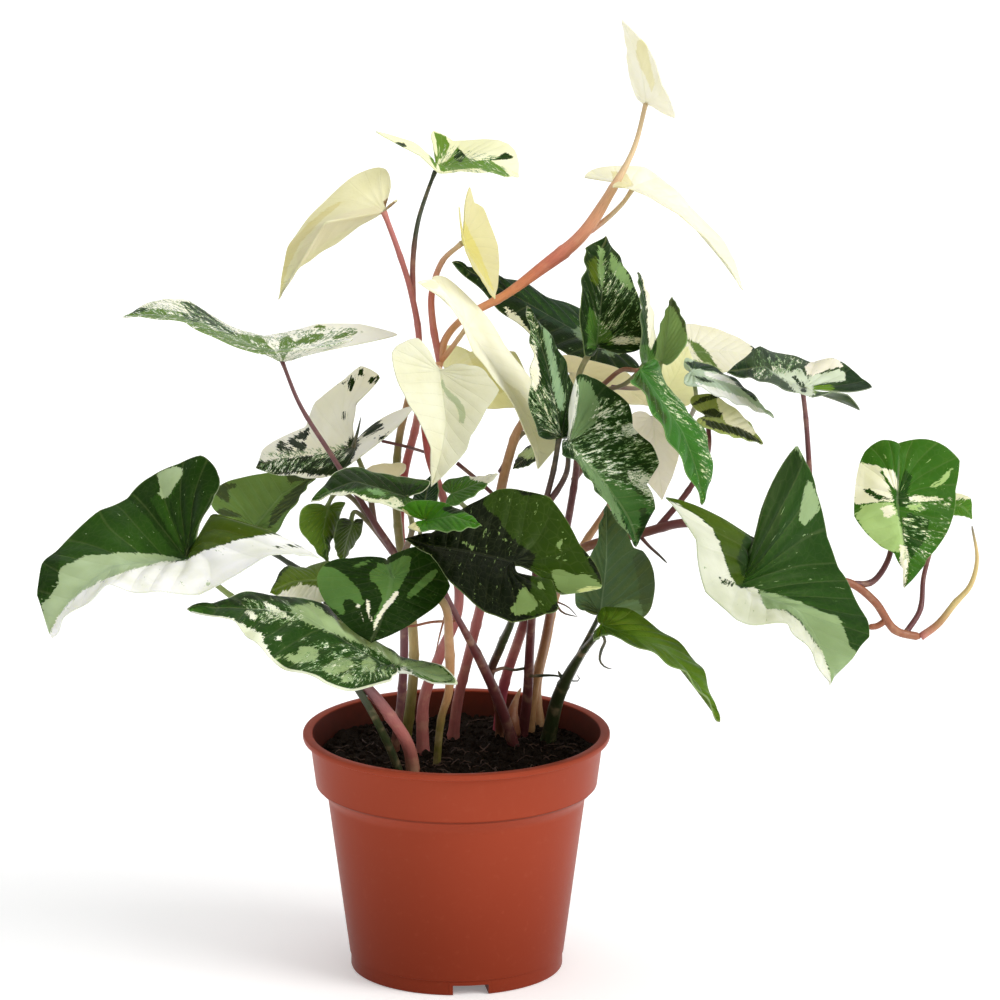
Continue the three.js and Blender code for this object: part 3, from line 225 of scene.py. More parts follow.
LEAVES = {
    "leaf_top": blade(
        "647,103,40 641,62,37 622,20,32", "675,118,30 662,85,24 650,50,27",
        "639,100,46 631,80,52 627,50,46"),
    "leaf_drooping_cream": blade(
        "633,188,28 682,212,25 743,290,20", "584,178,42 645,168,46 692,208,42",
        "613,187,14 655,200,8 700,233,8", margin="-9,720,237,36 -10,735,261,30 1,626,184,24 2,619,182,20"),
    "leaf_pale_left": blade(
        "383,212,10 325,222,2 278,300,8", "387,171,24 345,183,20 292,240,14",
        "397,202,20 360,226,16 310,260,12"),
    "leaf_small_top": blade(
        "436,170,28 478,158,26 519,177,22", "433,131,38 464,141,38 509,144,34",
        "375,131,14 439,173,14 490,172,15",
        margin="1,433,160,22 2,415,143,20 4,398,144,12 5,420,156,12 7,460,171,14 9,506,177,17 "
               "-1,435,158,30 -2,433,144,34 -4,444,135,39 -5,453,141,38 -7,485,139,37 -8,500,141,35 "
               "-9,515,151,30 -10,519,163,27"),
    "leaf_yellow": blade(
        "463,243,-2 480,264,-6 495,299,-8", "470,187,6 489,222,10 499,265,4",
        "459,207,-14 466,252,-16 481,278,-14",
        margin="-4,474,203,8 -5,483,208,9 -7,497,244,10 -8,499,260,8 -10,497,288,-3"),
    "leaf_wing_left": blade(
        "282,360,-15 205,321,-15 123,317,-12", "352,338,-45 262,354,-42 185,322,-32",
        "398,334,8 286,332,12 186,300,6",
        margin="4,362,325,10 5,318,324,12 7,264,337,10 8,226,325,8 9,164,299,2 10,142,306,-4"),
    "leaf_speckled": blade(
        "353,447,-8 300,455,-12 256,468,-14", "414,406,-26 338,472,-22 295,475,-24",
        "380,377,14 318,400,14 283,437,4",
        margin="1,352,426,-2 2,355,404,6 4,362,366,15 5,345,379,16 7,314,405,12 8,306,427,9 9,274,441,0 "
               "10,262,451,-7"),
    "leaf_cream_heart": blade(
        "440,371,-42 446,420,-46 431,487,-56", "470,366,-46 499,390,-50 471,436,-54",
        "418,338,-44 393,362,-50 408,404,-54",
        margin="-5,489,377,-46 -7,487,408,-52 -8,476,428,-54 -9,467,449,-55 -10,449,470,-56 4,402,343,-46 "
               "5,393,351,-48 7,396,377,-52 8,404,394,-53 9,417,416,-55 10,431,448,-56"),
    "leaf_long_cream": blade(
        "467,328,-18 512,392,-22 538,469,-27", "432,278,-10 486,316,-4 548,402,-8",
        "417,283,-34 463,326,-36 506,392,-36",
        margin="-1,455,306,-20 -2,441,288,-16 -4,444,277,-8 -5,462,290,-6 -7,503,343,-4 -8,527,375,-6 "
               "-9,556,424,-10 -10,560,444,-16 1,452,301,-22 2,433,280,-27 4,428,288,-35 5,444,298,-36 "
               "7,474,352,-37 8,492,376,-37"),
    "leaf_cream_behind_heart": blade(
        "448,372,22 495,380,26 540,405,28", "440,350,40 470,352,46 515,352,44",
        "440,385,14 468,405,14 508,408,18"),
    "leaf_dark_long": blade(
        "600,345,50 530,305,48 452,262,46", "640,366,38 590,364,34 520,327,36",
        "645,335,68 590,316,66 512,279,58"),
    "leaf_dark_upright": blade(
        "596,345,2 602,290,4 606,236,8", "586,355,-9 582,305,-8 586,268,-2",
        "638,350,10 640,308,12 624,266,12", margin="-10,585,248,2"),
    "leaf_thin_upright": blade(
        "647,362,-4 645,315,-3 638,272,0", "642,369,-14 641,335,-14 641,300,-8",
        "652,369,8 655,335,10 650,300,8"),
    "leaf_sage_upright": blade(
        "662,362,14 669,330,14 672,297,16", "674,360,6 687,338,8 680,313,12",
        "650,372,20 656,345,22 664,316,18"),
    "leaf_yellow_tuck": blade(
        "664,395,30 678,370,32 688,346,34", "655,398,26 655,378,26 668,356,30",
        "682,405,36 694,396,36 694,368,36"),
    "leaf_hanging_green": blade(
        "640,370,-28 682,432,-40 702,505,-46", "652,360,-12 670,393,-16 708,438,-28",
        "632,381,-44 645,396,-50 671,443,-54", margin="-10,712,480,-38"),
    "leaf_marbled_narrow": blade(
        "561,436,-34 548,372,-32 527,306,-28", "542,437,-42 530,402,-46 533,355,-38",
        "570,436,-28 574,398,-24 561,353,-24"),
    "leaf_marbled_big": blade(
        "569,443,-44 605,484,-46 636,547,-50", "577,375,-20 628,404,-20 660,464,-30",
        "562,454,-54 580,464,-58 598,492,-60",
        margin="-10,656,508,-42 -4,590,378,-18 -5,610,388,-17 -7,632,427,-23 -8,651,445,-27 "
               "-9,647,484,-38"),
    "leaf_cream_back_right": blade(
        "690,352,60 728,352,58 766,360,56", "680,330,76 702,326,78 742,340,72",
        "684,368,46 702,372,44 738,370,42"),
    "leaf_pale_right": blade(
        "692,372,8 728,386,4 774,418,0", "684,362,18 704,364,20 740,383,14",
        "684,382,-4 702,388,-8 738,404,-8"),
    "leaf_olive_right": blade(
        "708,416,-4 735,425,-6 763,444,-8", "690,402,6 712,395,8 744,417,2",
        "696,424,-16 714,430,-18 738,438,-16"),
    "leaf_right_umbrella": blade(
        "803,388,4 765,367,4 727,373,2", "860,410,-18 812,397,-22 765,382,-14",
        "872,388,26 832,359,30 772,351,26",
        margin="-4,848,396,-20 -5,832,391,-22 -7,795,393,-20 -8,778,386,-18 -10,745,378,-4 4,861,378,28 "
               "5,848,366,30 7,812,362,30 8,790,356,28 9,760,347,22 10,744,358,10"),
    "leaf_big_right": blade(
        "738,585,-30 794,608,-38 830,685,-40", "798,445,-4 828,537,-4 867,621,-14",
        "665,497,-56 706,592,-66 788,624,-62", extra="0.47,-0.2,697,540,-63",
        margin="-10,850,660,-26 1,757,541,-22 2,722,517,-40 7,735,620,-69 10,814,655,-52 -1,750,551,-30 "
               "-2,763,504,-20 -4,807,464,-3 -5,815,492,-2 -7,838,569,-6 -8,857,600,-10 -9,869,637,-20"),
    "leaf_right_heart": blade(
        "897,498,14 903,545,8 904,588,2", "922,439,28 955,490,22 936,550,10",
        "882,440,22 855,490,16 881,547,8",
        margin="-10,920,571,6 10,903,569,4 -2,896,446,26 -4,943,445,28 -5,960,460,26 -7,954,514,18 "
               "-8,946,534,13 -9,926,560,8 2,901,446,21 4,866,450,22 5,859,466,20 7,854,516,13 "
               "8,866,533,10 9,894,553,6",
        sinus=0.15),
    "leaf_tiny_right": blade(
        "950,504,34 962,507,33 972,519,32", "946,496,40 957,494,40 971,499,38",
        "944,512,28 952,514,28 963,516,29"),
    "leaf_big_left": blade(
        "187,560,-45 112,566,-52 52,638,-60", "320,557,-78 198,593,-86 108,586,-80",
        "218,474,-22 152,477,-17 60,546,-34", extra="-0.47,-0.2,268,557,-87 0.25,0.73,43,566,-40",
        margin="-1,213,515,-50 -2,266,528,-64 -10,64,620,-70 2,213,496,-28 4,203,456,-19 5,178,463,-17 "
               "7,128,498,-20 8,98,513,-26 10,36,594,-48"),
    "leaf_sage_left": blade(
        "256,527,-2 282,495,-4 322,470,-8", "272,535,-10 290,510,-12 307,486,-12",
        "228,520,8 214,490,10 260,474,4"),
    "leaf_shelf_left": blade(
        "405,497,-50 355,482,-54 311,502,-58", "422,509,-56 398,509,-62 350,494,-66",
        "430,484,-36 396,478,-36 345,467,-40"),
    "leaf_hanging_left": blade(
        "328,508,-46 322,534,-50 327,562,-52", "344,502,-38 339,516,-38 331,541,-44",
        "309,504,-56 299,525,-58 314,546,-56"),
    "leaf_curled_left": blade(
        "352,524,-40 346,542,-42 342,563,-44", "361,519,-34 361,532,-32 350,550,-36",
        "342,518,-48 335,532,-50 336,550,-49"),
    "leaf_bright_small": blade(
        "426,521,-74 452,516,-86 482,526,-98", "402,509,-70 430,500,-70 462,511,-82",
        "408,528,-84 430,530,-90 458,531,-98"),
    "leaf_olive_left": blade(
        "318,580,-60 295,582,-62 270,593,-64", "332,597,-70 312,601,-74 290,599,-72",
        "330,562,-48 306,569,-46 284,567,-50"),
    "leaf_front_facing": blade(
        "392,578,-80 384,611,-88 371,643,-94", "414,547,-70 450,586,-74 418,619,-88",
        "350,559,-70 317,580,-76 340,619,-90", extra="-0.47,-0.2,436,560,-70 0.47,-0.2,325,564,-72",
        sinus=0.05),
    "leaf_front_left": blade(
        "393,670,-94 300,614,-100 187,609,-104", "393,674,-106 350,689,-126 266,657,-128",
        "458,684,-88 398,656,-78 300,598,-80",
        margin="-1,396,668,-95 -2,397,669,-99 -4,388,681,-114 -5,372,688,-122 -7,318,680,-129 "
               "-8,284,667,-129 -9,254,641,-124 -10,234,623,-114 1,412,672,-93 2,432,681,-91 "
               "4,444,669,-85 5,422,659,-82 7,364,638,-76 8,334,611,-76 9,264,592,-84 10,230,597,-94"),
    "leaf_dark_centre": blade(
        "512,562,-84 458,550,-82 404,539,-80", "557,605,-106 512,623,-110 452,583,-100",
        "602,588,-92 550,498,-60 478,500,-64", extra="-0.47,-0.2,546,613,-110 0.47,-0.2,580,545,-74",
        margin="-8,472,603,-104 -10,430,553,-86 8,497,490,-60 10,432,533,-76 -1,517,575,-90 "
               "-2,552,579,-98 1,531,571,-83 2,560,596,-86"),
    "leaf_grey_underside": blade(
        "600,612,-36 606,560,-46 607,505,-46", "640,618,-30 654,578,-32 634,548,-40",
        "584,610,-40 575,592,-44 597,545,-48", margin="-7,650,561,-33 -8,642,550,-37 -9,627,532,-42"),
    "leaf_drooping_front": blade(
        "603,626,-52 666,650,-68 720,722,-76", "600,612,-46 634,613,-46 696,660,-54",
        "594,640,-64 622,638,-76 682,671,-84"),
    "leaf_small_centre": blade(
        "452,494,-34 472,486,-36 498,474,-38", "442,486,-24 456,478,-24 478,477,-30",
        "446,505,-44 462,502,-46 481,490,-44"),
    "leaf_narrow_centre": blade(
        "425,502,-28 428,488,-29 433,474,-30", "414,506,-24 414,497,-22 421,485,-26",
        "434,504,-34 438,494,-34 437,482,-33"),
    "leaf_cream_back_centre": blade(
        "652,418,22 656,455,20 662,500,18", "670,410,28 679,432,28 676,466,24",
        "636,412,14 630,436,14 641,472,14"),
    "leaf_small_behind": blade(
        "536,450,-2 526,458,-4 513,469,-6", "539,455,-8 532,463,-10 523,467,-10",
        "536,444,4 524,450,6 516,460,2"),
    "leaf_cream_strip": blade(
        "398,476,-18 378,474,-20 357,478,-22", "408,484,-28 396,486,-32 375,483,-30",
        "406,466,-8 392,464,-6 372,466,-10"),
    "leaf_cream_back": blade(
        "572,374,20 610,382,18 652,406,14", "560,358,28 585,360,28 628,373,24",
        "560,392,12 584,402,10 624,404,10"),
}

# The outline's right half as across,along for a blade whose joint is 0,0 and tip 0,1: out of the
# sinus, round the basal lobe, and along the margin to the tip.
HALF_OUTLINE = numbers(
    "0,-0.03 0.06,-0.12 0.12,-0.25 0.24,-0.34 0.38,-0.3 0.49,-0.16 "
    "0.54,0.02 0.52,0.22 0.45,0.42 0.33,0.63 0.17,0.83 0,1")
SPINE_STATIONS = numbers("0,0 0,0.5 0,1")
SIDE_STATIONS = numbers("0.24,-0.34 0.54,0.02 0.39,0.54")
FOLD_ROUNDING = 0.06  # how softly the blade folds along its midrib
SINUS_POINTS = 2  # outline points that the sinus width moves
VEIN_SLANT = 0.35  # a side vein leaves the midrib this much nearer the joint
NORMAL_STEP = 0.01  # of the blade's length
OUTLINE_SPANS = 8  # pieces in each span of the fine outline
BLADE_ROWS = 13  # rows of faces from the midrib to the margin
ROW_CROWDING = 1.25  # above 1, the rows stand closer near the midrib
SHARED_DIGITS = 6  # net points that agree this far are one point
BLADE_MM = 0.45  # thickness
RIB_MM = 0.75  # how far the midrib stands out under the joint
RIB_WIDTH = 0.018  # of the blade's length
QUILT_MM = 1.3  # how far the blade swells between its side veins
QUILT_FULLNESS = 0.8  # below 1, the swellings are rounder
WAVE_MM = 0.75  # how far the margin waves
WAVES_PER_VEIN = 2.3  # in radians
RELIEF_LENGTH_MM = 60  # a blade of this length has all of that swelling and waving
RELIEF_LIMIT = 1.3
PALE_RELIEF = 0.3  # cream blades are this much flatter
VEINS = 8  # side veins on each side, over the blade's length
BASAL_VEIN_GAP = 0.36  # radians between the veins that radiate from the joint into a basal lobe


def bending_terms(stations):
    across, along = stations.T
    return np.column_stack([np.ones_like(across), across, along, np.hypot(across, FOLD_ROUNDING)])


def blade_surface(leaf):
    """The blade's middle surface: a function from rows of across and along to points in space."""
    mirrored = [[-across, along] for across, along in SIDE_STATIONS]
    stations = [*SPINE_STATIONS, *mirrored, *SIDE_STATIONS]
    landmarks = list(leaf["places"])
    for across, along, *landmark in leaf["extra"]:
        stations.append([across, along])
        landmarks.append(landmark)
    for number, *landmark in leaf["margin"]:
        across, along = HALF_OUTLINE[abs(int(number))]
        if abs(number) <= SINUS_POINTS:
            across *= leaf["sinus"]
        stations.append([math.copysign(across, number), along])
        landmarks.append(landmark)
    stations = np.array(stations)
    basis = np.hstack([np.linalg.norm(stations[:, None] - stations, axis=2), bending_terms(stations)])
    flat = bending_terms(stations).T
    matrix = np.vstack([basis, np.hstack([flat, np.zeros((len(flat), len(flat)))])])
    targets = np.vstack([place(landmarks), np.zeros((len(flat), 3))])
    weights = np.linalg.solve(matrix, targets)

    def surface(at):
        reach = np.linalg.norm(at[:, None] - stations, axis=2)
        return np.hstack([reach, bending_terms(at)]) @ weights

    return surface


def blade_normals(surface, at):
    ahead, aside = np.array([0, NORMAL_STEP]), np.array([NORMAL_STEP, 0])
    normals = np.cross(surface(at + aside) - surface(at - aside), surface(at + ahead) - surface(at - ahead))
    return normals / np.linalg.norm(normals, axis=1)[:, None]


def blade_net(sinus):
    """The flat net of a blade: its points, how far out each is, its faces, and its margin's edges."""
    half = np.array(HALF_OUTLINE)
    half[1:1 + SINUS_POINTS, 0] *= sinus
    outline = curve_through(half, OUTLINE_SPANS * (len(half) - 1) + 1)
    outline[:, 0] = np.maximum(outline[:, 0], 0)
    outline[0, 0] = outline[-1, 0] = 0
    last = len(outline) - 1
    points, reach, found = [], [], {}

    def point(side, k, row):
        across, along = outline[k]
        root = 1 if k == last else max(0, along - VEIN_SLANT * across)
        out = (row / BLADE_ROWS) ** ROW_CROWDING
        at = (side * across * out, root + (along - root) * out)
        key = tuple(np.round(at, SHARED_DIGITS))
        if key not in found:
            found[key] = len(points)
            points.append(at)
            reach.append(out)
        return found[key]

    faces, margin = [], []
    for side in (1, -1):
        for k in range(last):
            for row in range(BLADE_ROWS):
                corners = [(k, row), (k, row + 1), (k + 1, row + 1), (k + 1, row)]
                face = tuple(dict.fromkeys(point(side, *corner) for corner in corners[::side]))
                if len(face) > 2:
                    faces.append(face)
            edge = (point(side, k, BLADE_ROWS), point(side, k + 1, BLADE_ROWS))
            margin.append(edge[::side])
    return np.array(points), np.array(reach), faces, margin


def polygon_depth(points, outline):
    """How far each point is inside a closed outline, in sheet units; outside it is negative."""
    corners = np.array(outline)
    depth = np.full(len(points), np.inf)
    inside = np.zeros(len(points), bool)
    for a, b in zip(corners, np.roll(corners, -1, axis=0)):
        edge = b - a
        along = np.clip((points - a) @ edge / max(edge @ edge, TINY), 0, 1)
        depth = np.minimum(depth, np.linalg.norm(points - a - along[:, None] * edge, axis=1))
        crosses = (a[1] > points[:, 1]) != (b[1] > points[:, 1])
        if edge[1]:
            at = a[0] + (points[:, 1] - a[1]) / edge[1] * edge[0]
            inside ^= crosses & (points[:, 0] < at)
    return np.where(inside, depth, -depth)


def vein_numbers(across, along):
    """A number that is whole on each side vein: up the midrib, and below 0 round the joint."""
    slant = along - VEIN_SLANT * np.abs(across)
    turned_back = np.arctan2(np.abs(across), along) - math.atan2(1, VEIN_SLANT)
    return np.where(slant < 0, -turned_back / BASAL_VEIN_GAP, slant * VEINS)


def make_leaf(name):
    leaf, marking = LEAVES[name], MARKINGS[name]
    surface = blade_surface(leaf)
    net, reach, faces, margin = blade_net(leaf["sinus"])
    across, along = net.T
    normals = blade_normals(surface, net)
    length = step_lengths(surface(np.array(SPINE_STATIONS))).sum()
    size = min(RELIEF_LIMIT, length / RELIEF_LENGTH_MM)
    relief = size * (PALE_RELIEF if marking["base"] == "cream" else 1)
    phase = dice.uniform(0, FULL_TURN)
    vein = vein_numbers(across, along)
    quilt = QUILT_MM * np.abs(np.sin(math.pi * vein)) ** QUILT_FULLNESS * np.sin(math.pi * reach)
    wave = WAVE_MM * np.sin(WAVES_PER_VEIN * vein + np.sign(across) + phase) * reach ** 3
    middle = surface(net) + normals * (relief * (quilt + wave))[:, None]
    rib = RIB_MM * size * np.exp(-(across / RIB_WIDTH) ** 2) * np.clip(1 - along, 0, 1)
    upper = middle + normals * (BLADE_MM / 2)
    lower = middle - normals * (BLADE_MM / 2 + rib)[:, None]
    count = len(net)
    shell = list(faces)
    shell += [tuple(i + count for i in reversed(face)) for face in faces]
    shell += [(a, a + count, b + count, b) for a, b in margin]
    piece = new_piece(name, np.vstack([upper, lower]), shell, leaf_material(name, marking))
    mesh = piece.data

    values = {"across": across * length, "along": along * length, "vein": vein,
              "slant": vein / VEINS * length, "reach": reach}
    seen = on_sheet(middle)
    for tone in (*TONES, "marble"):
        depths = [polygon_depth(seen, outline) for kind, outline in marking["patches"] if kind == tone]
        values[tone] = np.max([np.full(count, -OUTSIDE), *depths], axis=0)
    for key, value in values.items():
        give_attribute(mesh, key, np.tile(value, 2))
    give_attribute(mesh, "under", np.repeat([0, 1], count))

    on_margin = np.zeros(2 * count, bool)
    for a, b in margin:
        on_margin[[a, b, a + count, b + count]] = True
    edge_points = np.array([edge.vertices[:] for edge in mesh.edges])
    mesh.edges.foreach_set("use_edge_sharp", on_margin[edge_points].all(axis=1))
    hand_over(piece, name)


# ---- Stems ----
# A stem's tubes grow together. Each tube starts in the soil at `soil`, in millimetres right of and
# behind the pot's axis, or on its parent at the first place, and ends under its leaf's joint or at the
# last place. Its colours and radii are spread evenly from its start to its end.
def tube(colours, places, radii, soil=(), leaf=""):
    return {"colours": colours.split(), "places": numbers(places), "soil": soil, "leaf": leaf,
            "radii": [float(radius) for radius in radii.split()]}


STEMS = {
    "vine_main": [
        tube(
            "pink pink pink pink maroon pink red peach peach orange salmon peach pale pale",
            "424,700,-4 440,655,-10 458,610,-16 456,560,-20 446,507,-20 428,452,-18 426,405,-14 "
            "440,362,-12 445,340,-8 464,318,2 505,295,8 538,271,12 581,236,16 613,188,24 634,148,32",
            "2.5 2.3 2.1 1.9 1.8 1.6 1.5 1.5 1.4 1.7 2.7 2.3 1.1 0.8", soil=(-13, 1), leaf="leaf_top"),
        tube("salmon pale pale", "583,236,17 604,221,22 622,204,24", "1.2 0.8", leaf="leaf_drooping_cream"),
        tube(
            "pink salmon pale", "440,362,-12 433,325,-6 432,292,4 442,262,4", "1.5 1.3 0.9",
            leaf="leaf_yellow"),
        tube("orange pale", "440,362,-12 450,350,-14", "1.2 0.8", leaf="leaf_long_cream"),
        tube("pink pale", "440,372,-12 438,368,-26", "1.4 1", leaf="leaf_cream_heart"),
    ],
    "shoot_pale": [
        tube(
            "olive olive yellow olive olive olive tan pink pink pink",
            "411,700,10 414,660,8 411,610,4 400,545,2 396,490,2 399,440,2 408,400,0 419,345,0 411,292,2 "
            "398,250,6",
            "2.2 1", soil=(-21, 14), leaf="leaf_pale_left"),
        tube(
            "pink red pink pink", "403,560,3 400,520,10 405,470,10 416,425,8 420,390,4 419,350,1",
            "1.8 1.4"),
        tube(
            "pink dark_olive dark_olive", "413,300,2 413,260,8 418,222,18 428,190,26", "1.2 0.7",
            leaf="leaf_small_top"),
    ],
    "shoot_left": [
        tube(
            "brown mauve mauve maroon maroon mauve mauve",
            "402,690,-10 404,630,-22 399,565,-26 374,522,-30 332,456,-30 300,405,-22", "1.8 1.7 1.5 1 0.7",
            soil=(-25, 4), leaf="leaf_wing_left"),
        tube("mauve green", "374,522,-30 368,485,-18", "1.3 0.9", leaf="leaf_speckled"),
        tube("mauve green", "399,565,-26 412,530,-34", "1.3 0.9", leaf="leaf_shelf_left"),
        tube("mauve green", "392,552,-27 368,522,-26 354,512,-34", "1.1 0.8", leaf="leaf_curled_left"),
        tube("mauve green", "385,540,-28 352,498,-24 335,494,-36", "1.1 0.8", leaf="leaf_hanging_left"),
    ],
    "petioles_front_left": [
        tube(
            "dark_olive dark_olive dark_olive green green",
            "388,744,-32 357,688,-46 318,640,-50 240,602,-50", "1.7 1", soil=(-20, -27),
            leaf="leaf_big_left"),
        tube("dark_olive dark_olive", "350,676,-47 322,620,-56", "1.2 0.8", leaf="leaf_olive_left"),
        tube(
            "brown pink mauve dark_olive dark_olive dark_olive green",
            "409,748,-30 390,716,-36 366,687,-43 340,666,-48.5 322,590,-44 284,560,-28 262,546,-16",
            "2.6 2.4 2 1.4 1 0.8", soil=(-16, -27), leaf="leaf_sage_left"),
        tube("mauve green", "352,680,-47 368,678,-66 388,672,-84", "1.4 1", leaf="leaf_front_left"),
    ],
    "petiole_front_facing": [
        tube(
            "olive olive tan tan tan olive green",
            "441,720,-24 449,690,-34 449,640,-48 444,604,-60 418,582,-68", "1.4 1.5 1.9 1.6 1",
            soil=(-8, -14), leaf="leaf_front_facing"),
    ],
    "petiole_bright_small": [
        tube(
            "maroon maroon maroon mauve green", "503,712,2 481,662,-20 450,603,-42 430,560,-46 420,534,-60",
            "2.1 2.1 1.9 1.1 0.9 0.8", soil=(24, 10), leaf="leaf_bright_small"),
    ],
    "petiole_dark_centre": [
        tube(
            "brown maroon dark_olive dark_olive dark_olive",
            "498,706,12 490,680,3 501,646,-22 513,615,-56 514,584,-72", "1.6 1.6 1.7 1.3 1.1",
            soil=(17, 21), leaf="leaf_dark_centre"),
    ],
    "stem_centre": [
        tube(
            "pink pink pink mauve tan tan tan yellow",
            "458,700,18 470,650,10 482,600,2 494,540,-4 502,485,-4 514,440,8 526,412,26 516,388,42 "
            "484,378,44 458,376,34",
            "2.2 2 2 2 1.8 1.2 1", soil=(-2, 24), leaf="leaf_cream_behind_heart"),
        tube("mauve green", "500,472,-2 526,432,12 548,440,10", "1 0.7", leaf="leaf_small_behind"),
        tube("mauve green", "494,540,-4 470,512,-22", "1.2 0.8", leaf="leaf_small_centre"),
        tube(
            "maroon dark_olive", "482,600,2 452,552,-10 436,520,-22", "1.1 0.8", leaf="leaf_narrow_centre"),
        tube("mauve green", "486,580,0 440,520,2 416,492,-2", "1.1 0.8", leaf="leaf_cream_strip"),
    ],
    "stem_marbled": [
        tube(
            "maroon maroon maroon maroon dark_olive",
            "527,700,20 530,645,6 534,590,-10 544,510,-26 554,468,-32", "2.2 1", soil=(25, 27),
            leaf="leaf_marbled_narrow"),
        tube("maroon dark_olive", "544,510,-26 566,474,-34", "1.3 0.9", leaf="leaf_marbled_big"),
    ],
    "stem_back": [
        tube(
            "tan tan brown maroon maroon mauve green",
            "534,690,30 545,640,24 556,580,14 570,510,4 577,460,2 576,410,1 580,372,-3", "2 1.1",
            soil=(28, 33), leaf="leaf_dark_upright"),
        tube("green green", "577,450,2 574,405,27", "1.1 0.8", leaf="leaf_cream_back"),
        tube("maroon green", "574,480,2 612,420,36 604,372,48", "1.3 0.9", leaf="leaf_dark_long"),
        tube("wood brown brown", "576,410,1 604,384,-10 622,370,-18", "1.2 0.8", leaf="leaf_hanging_green"),
        tube("mauve green", "592,392,-5 625,384,-4", "1 0.7", leaf="leaf_thin_upright"),
        tube("mauve green", "612,387,-4 640,388,4 658,380,14", "0.9 0.7", leaf="leaf_sage_upright"),
    ],
    "stem_back_right": [
        tube(
            "tan tan tan mauve mauve",
            "537,690,40 547,640,40 558,590,40 580,550,42 610,505,44 640,450,44 668,400,44", "1.8 1",
            soil=(34, 37), leaf="leaf_cream_back_right"),
        tube("mauve green", "611,504,44 640,445,34", "1.1 0.8", leaf="leaf_cream_back_centre"),
        tube("mauve green", "646,438,44 680,426,42 696,396,14", "1.1 0.8", leaf="leaf_pale_right"),
        tube("mauve green", "652,428,44 660,408,38", "1 0.7", leaf="leaf_yellow_tuck"),
    ],
    "runner_right": [
        tube(
            "bright_pink bright_pink pink maroon wood brown maroon maroon mauve wood wood wood",
            "503,690,26 515,650,14 540,590,0 580,550,-8 642,533,-12 690,523,-14 760,545,-4 820,580,4 "
            "850,583,8 875,602,10 895,630,12 920,637,16",
            "2.1 2 1.9 1.8 1.7 1.6 1.6", soil=(16, 36)),
        tube(
            "maroon maroon maroon", "655,531,-13 690,488,-10 708,452,-10", "1.3 0.9",
            leaf="leaf_olive_right"),
        tube("maroon maroon", "760,545,-4 750,570,-14", "1.6 1.2", leaf="leaf_big_right"),
        tube(
            "maroon maroon maroon mauve", "820,580,4 812,520,8 809,463,8 806,420,6", "1.3 0.9",
            leaf="leaf_right_umbrella"),
        tube(
            "maroon maroon mauve", "852,584,8 872,582,12 888,560,16 894,525,22", "1.3 0.9",
            leaf="leaf_right_heart"),
        tube(
            "maroon maroon maroon green", "905,634,14 920,610,20 924,575,28 938,530,34", "1.2 0.7",
            leaf="leaf_tiny_right"),
    ],
    "petioles_front_right": [
        tube(
            "dark_olive dark_olive dark_olive dark_olive", "555,708,12 563,686,2 580,656,-16",
            "3 2.5 1.5 1.2", soil=(35, 19), leaf="leaf_drooping_front"),
        tube("dark_olive dark_olive", "572,668,-8 590,634,-28", "1.2 0.9", leaf="leaf_grey_underside"),
    ],
    # The rolled new leaf that points up from the runner's end.
    "spike_leaf": [
        tube(
            "pink tan yellow yellow yellow yellow grey",
            "920.5,637,16 938,624,17 955,603,18 970,586,18 977,560,18 972,526,18", "1.6 1.3 0.9 0.4"),
    ],
}

# Short roots that stems put out in the air, a cut stub and a dry sheath.
AERIAL_ROOTS = [
    tube("maroon dark_olive", "640,536,-12 650,547,-13 659,555,-13 667,563,-14", "0.8 0.35"),
    tube(
        "dark_olive dark_olive", "599,631,-46 605,640,-46 601,651,-45 600,661,-44 605,667,-44 612,669,-44",
        "0.6 0.6 0.6 0.4 0.2"),
    tube("brown dark_olive", "554,600,18 562,612,17 578,617,16", "0.6 0.4 0.15"),
    tube("brown dark_olive", "555,601,18 568,607,18 577,616,18", "0.4 0.15"),
    tube("dark_olive dark_olive", "353,447,-40 357,434,-41 361,417,-42", "0.8 0.5 0.2"),
    tube("brown dark_olive", "491,672,-8 504,668,2 514,670,8 526,668,12", "0.8 0.5"),
    tube(
        "dark_olive dark_olive", "530,676,12 558,676,4 573,681,3 580,680,3 577,675,3",
        "0.6 0.6 0.4 0.3 0.2"),
    tube("dark_olive dark_olive", "563,680,-2 558,671,-2", "1 0.3"),
    tube("wood wood", "372,628,-52 392,625,-44 412,626,-34 432,622,-26 457,621,-17", "0.4 0.5 0.5"),
    tube("maroon maroon", "382,441,-2 404,446,0 428,453,-14", "0.6 0.6"),
    tube("maroon maroon", "457,463,0 474,477,-2 494,495,-4", "0.8 0.8"),
    tube("wood wood", "446,612,-18 440,634,-20 436,652,-22", "0.5 0.2"),
    tube("wood wood", "885,621,11 877,626,11 868,627,10", "1.3 1.2"),
    tube("brown wood tan", "513,734,10 512,716,9 516,700,10 521,688,12", "3.2 2.6 1.4 0.4"),
]

STEM_COLOURS = {
    "salmon": (222, 130, 106), "orange": (226, 148, 92), "pale": (236, 214, 170), "peach": (236, 178, 134),
    "pink": (204, 124, 118), "maroon": (108, 54, 54), "olive": (128, 122, 56), "dark_olive": (50, 62, 30),
    "brown": (132, 82, 54), "mauve": (128, 84, 88), "green": (134, 158, 86), "tan": (190, 146, 100),
    "bright_pink": (206, 96, 116), "yellow": (226, 206, 140), "red": (178, 62, 56), "wood": (162, 98, 64),
    "grey": (120, 120, 104),
}
STEM_SIDES = 14
RING_GAP_MM = 1.5
FEWEST_RINGS = 8
SOIL_LEVEL = 85.5
SOIL_DEPTH_MM = 5  # how far a stem reaches below the soil's surface
FOOT_SWELL = 0.25  # of the radius, where a stem leaves the soil
FOOT_SWELL_MM = 6
JOINT_SWELL = 0.3  # of the radius, at the leaf's joint
JOINT_SWELL_MM = 2.5
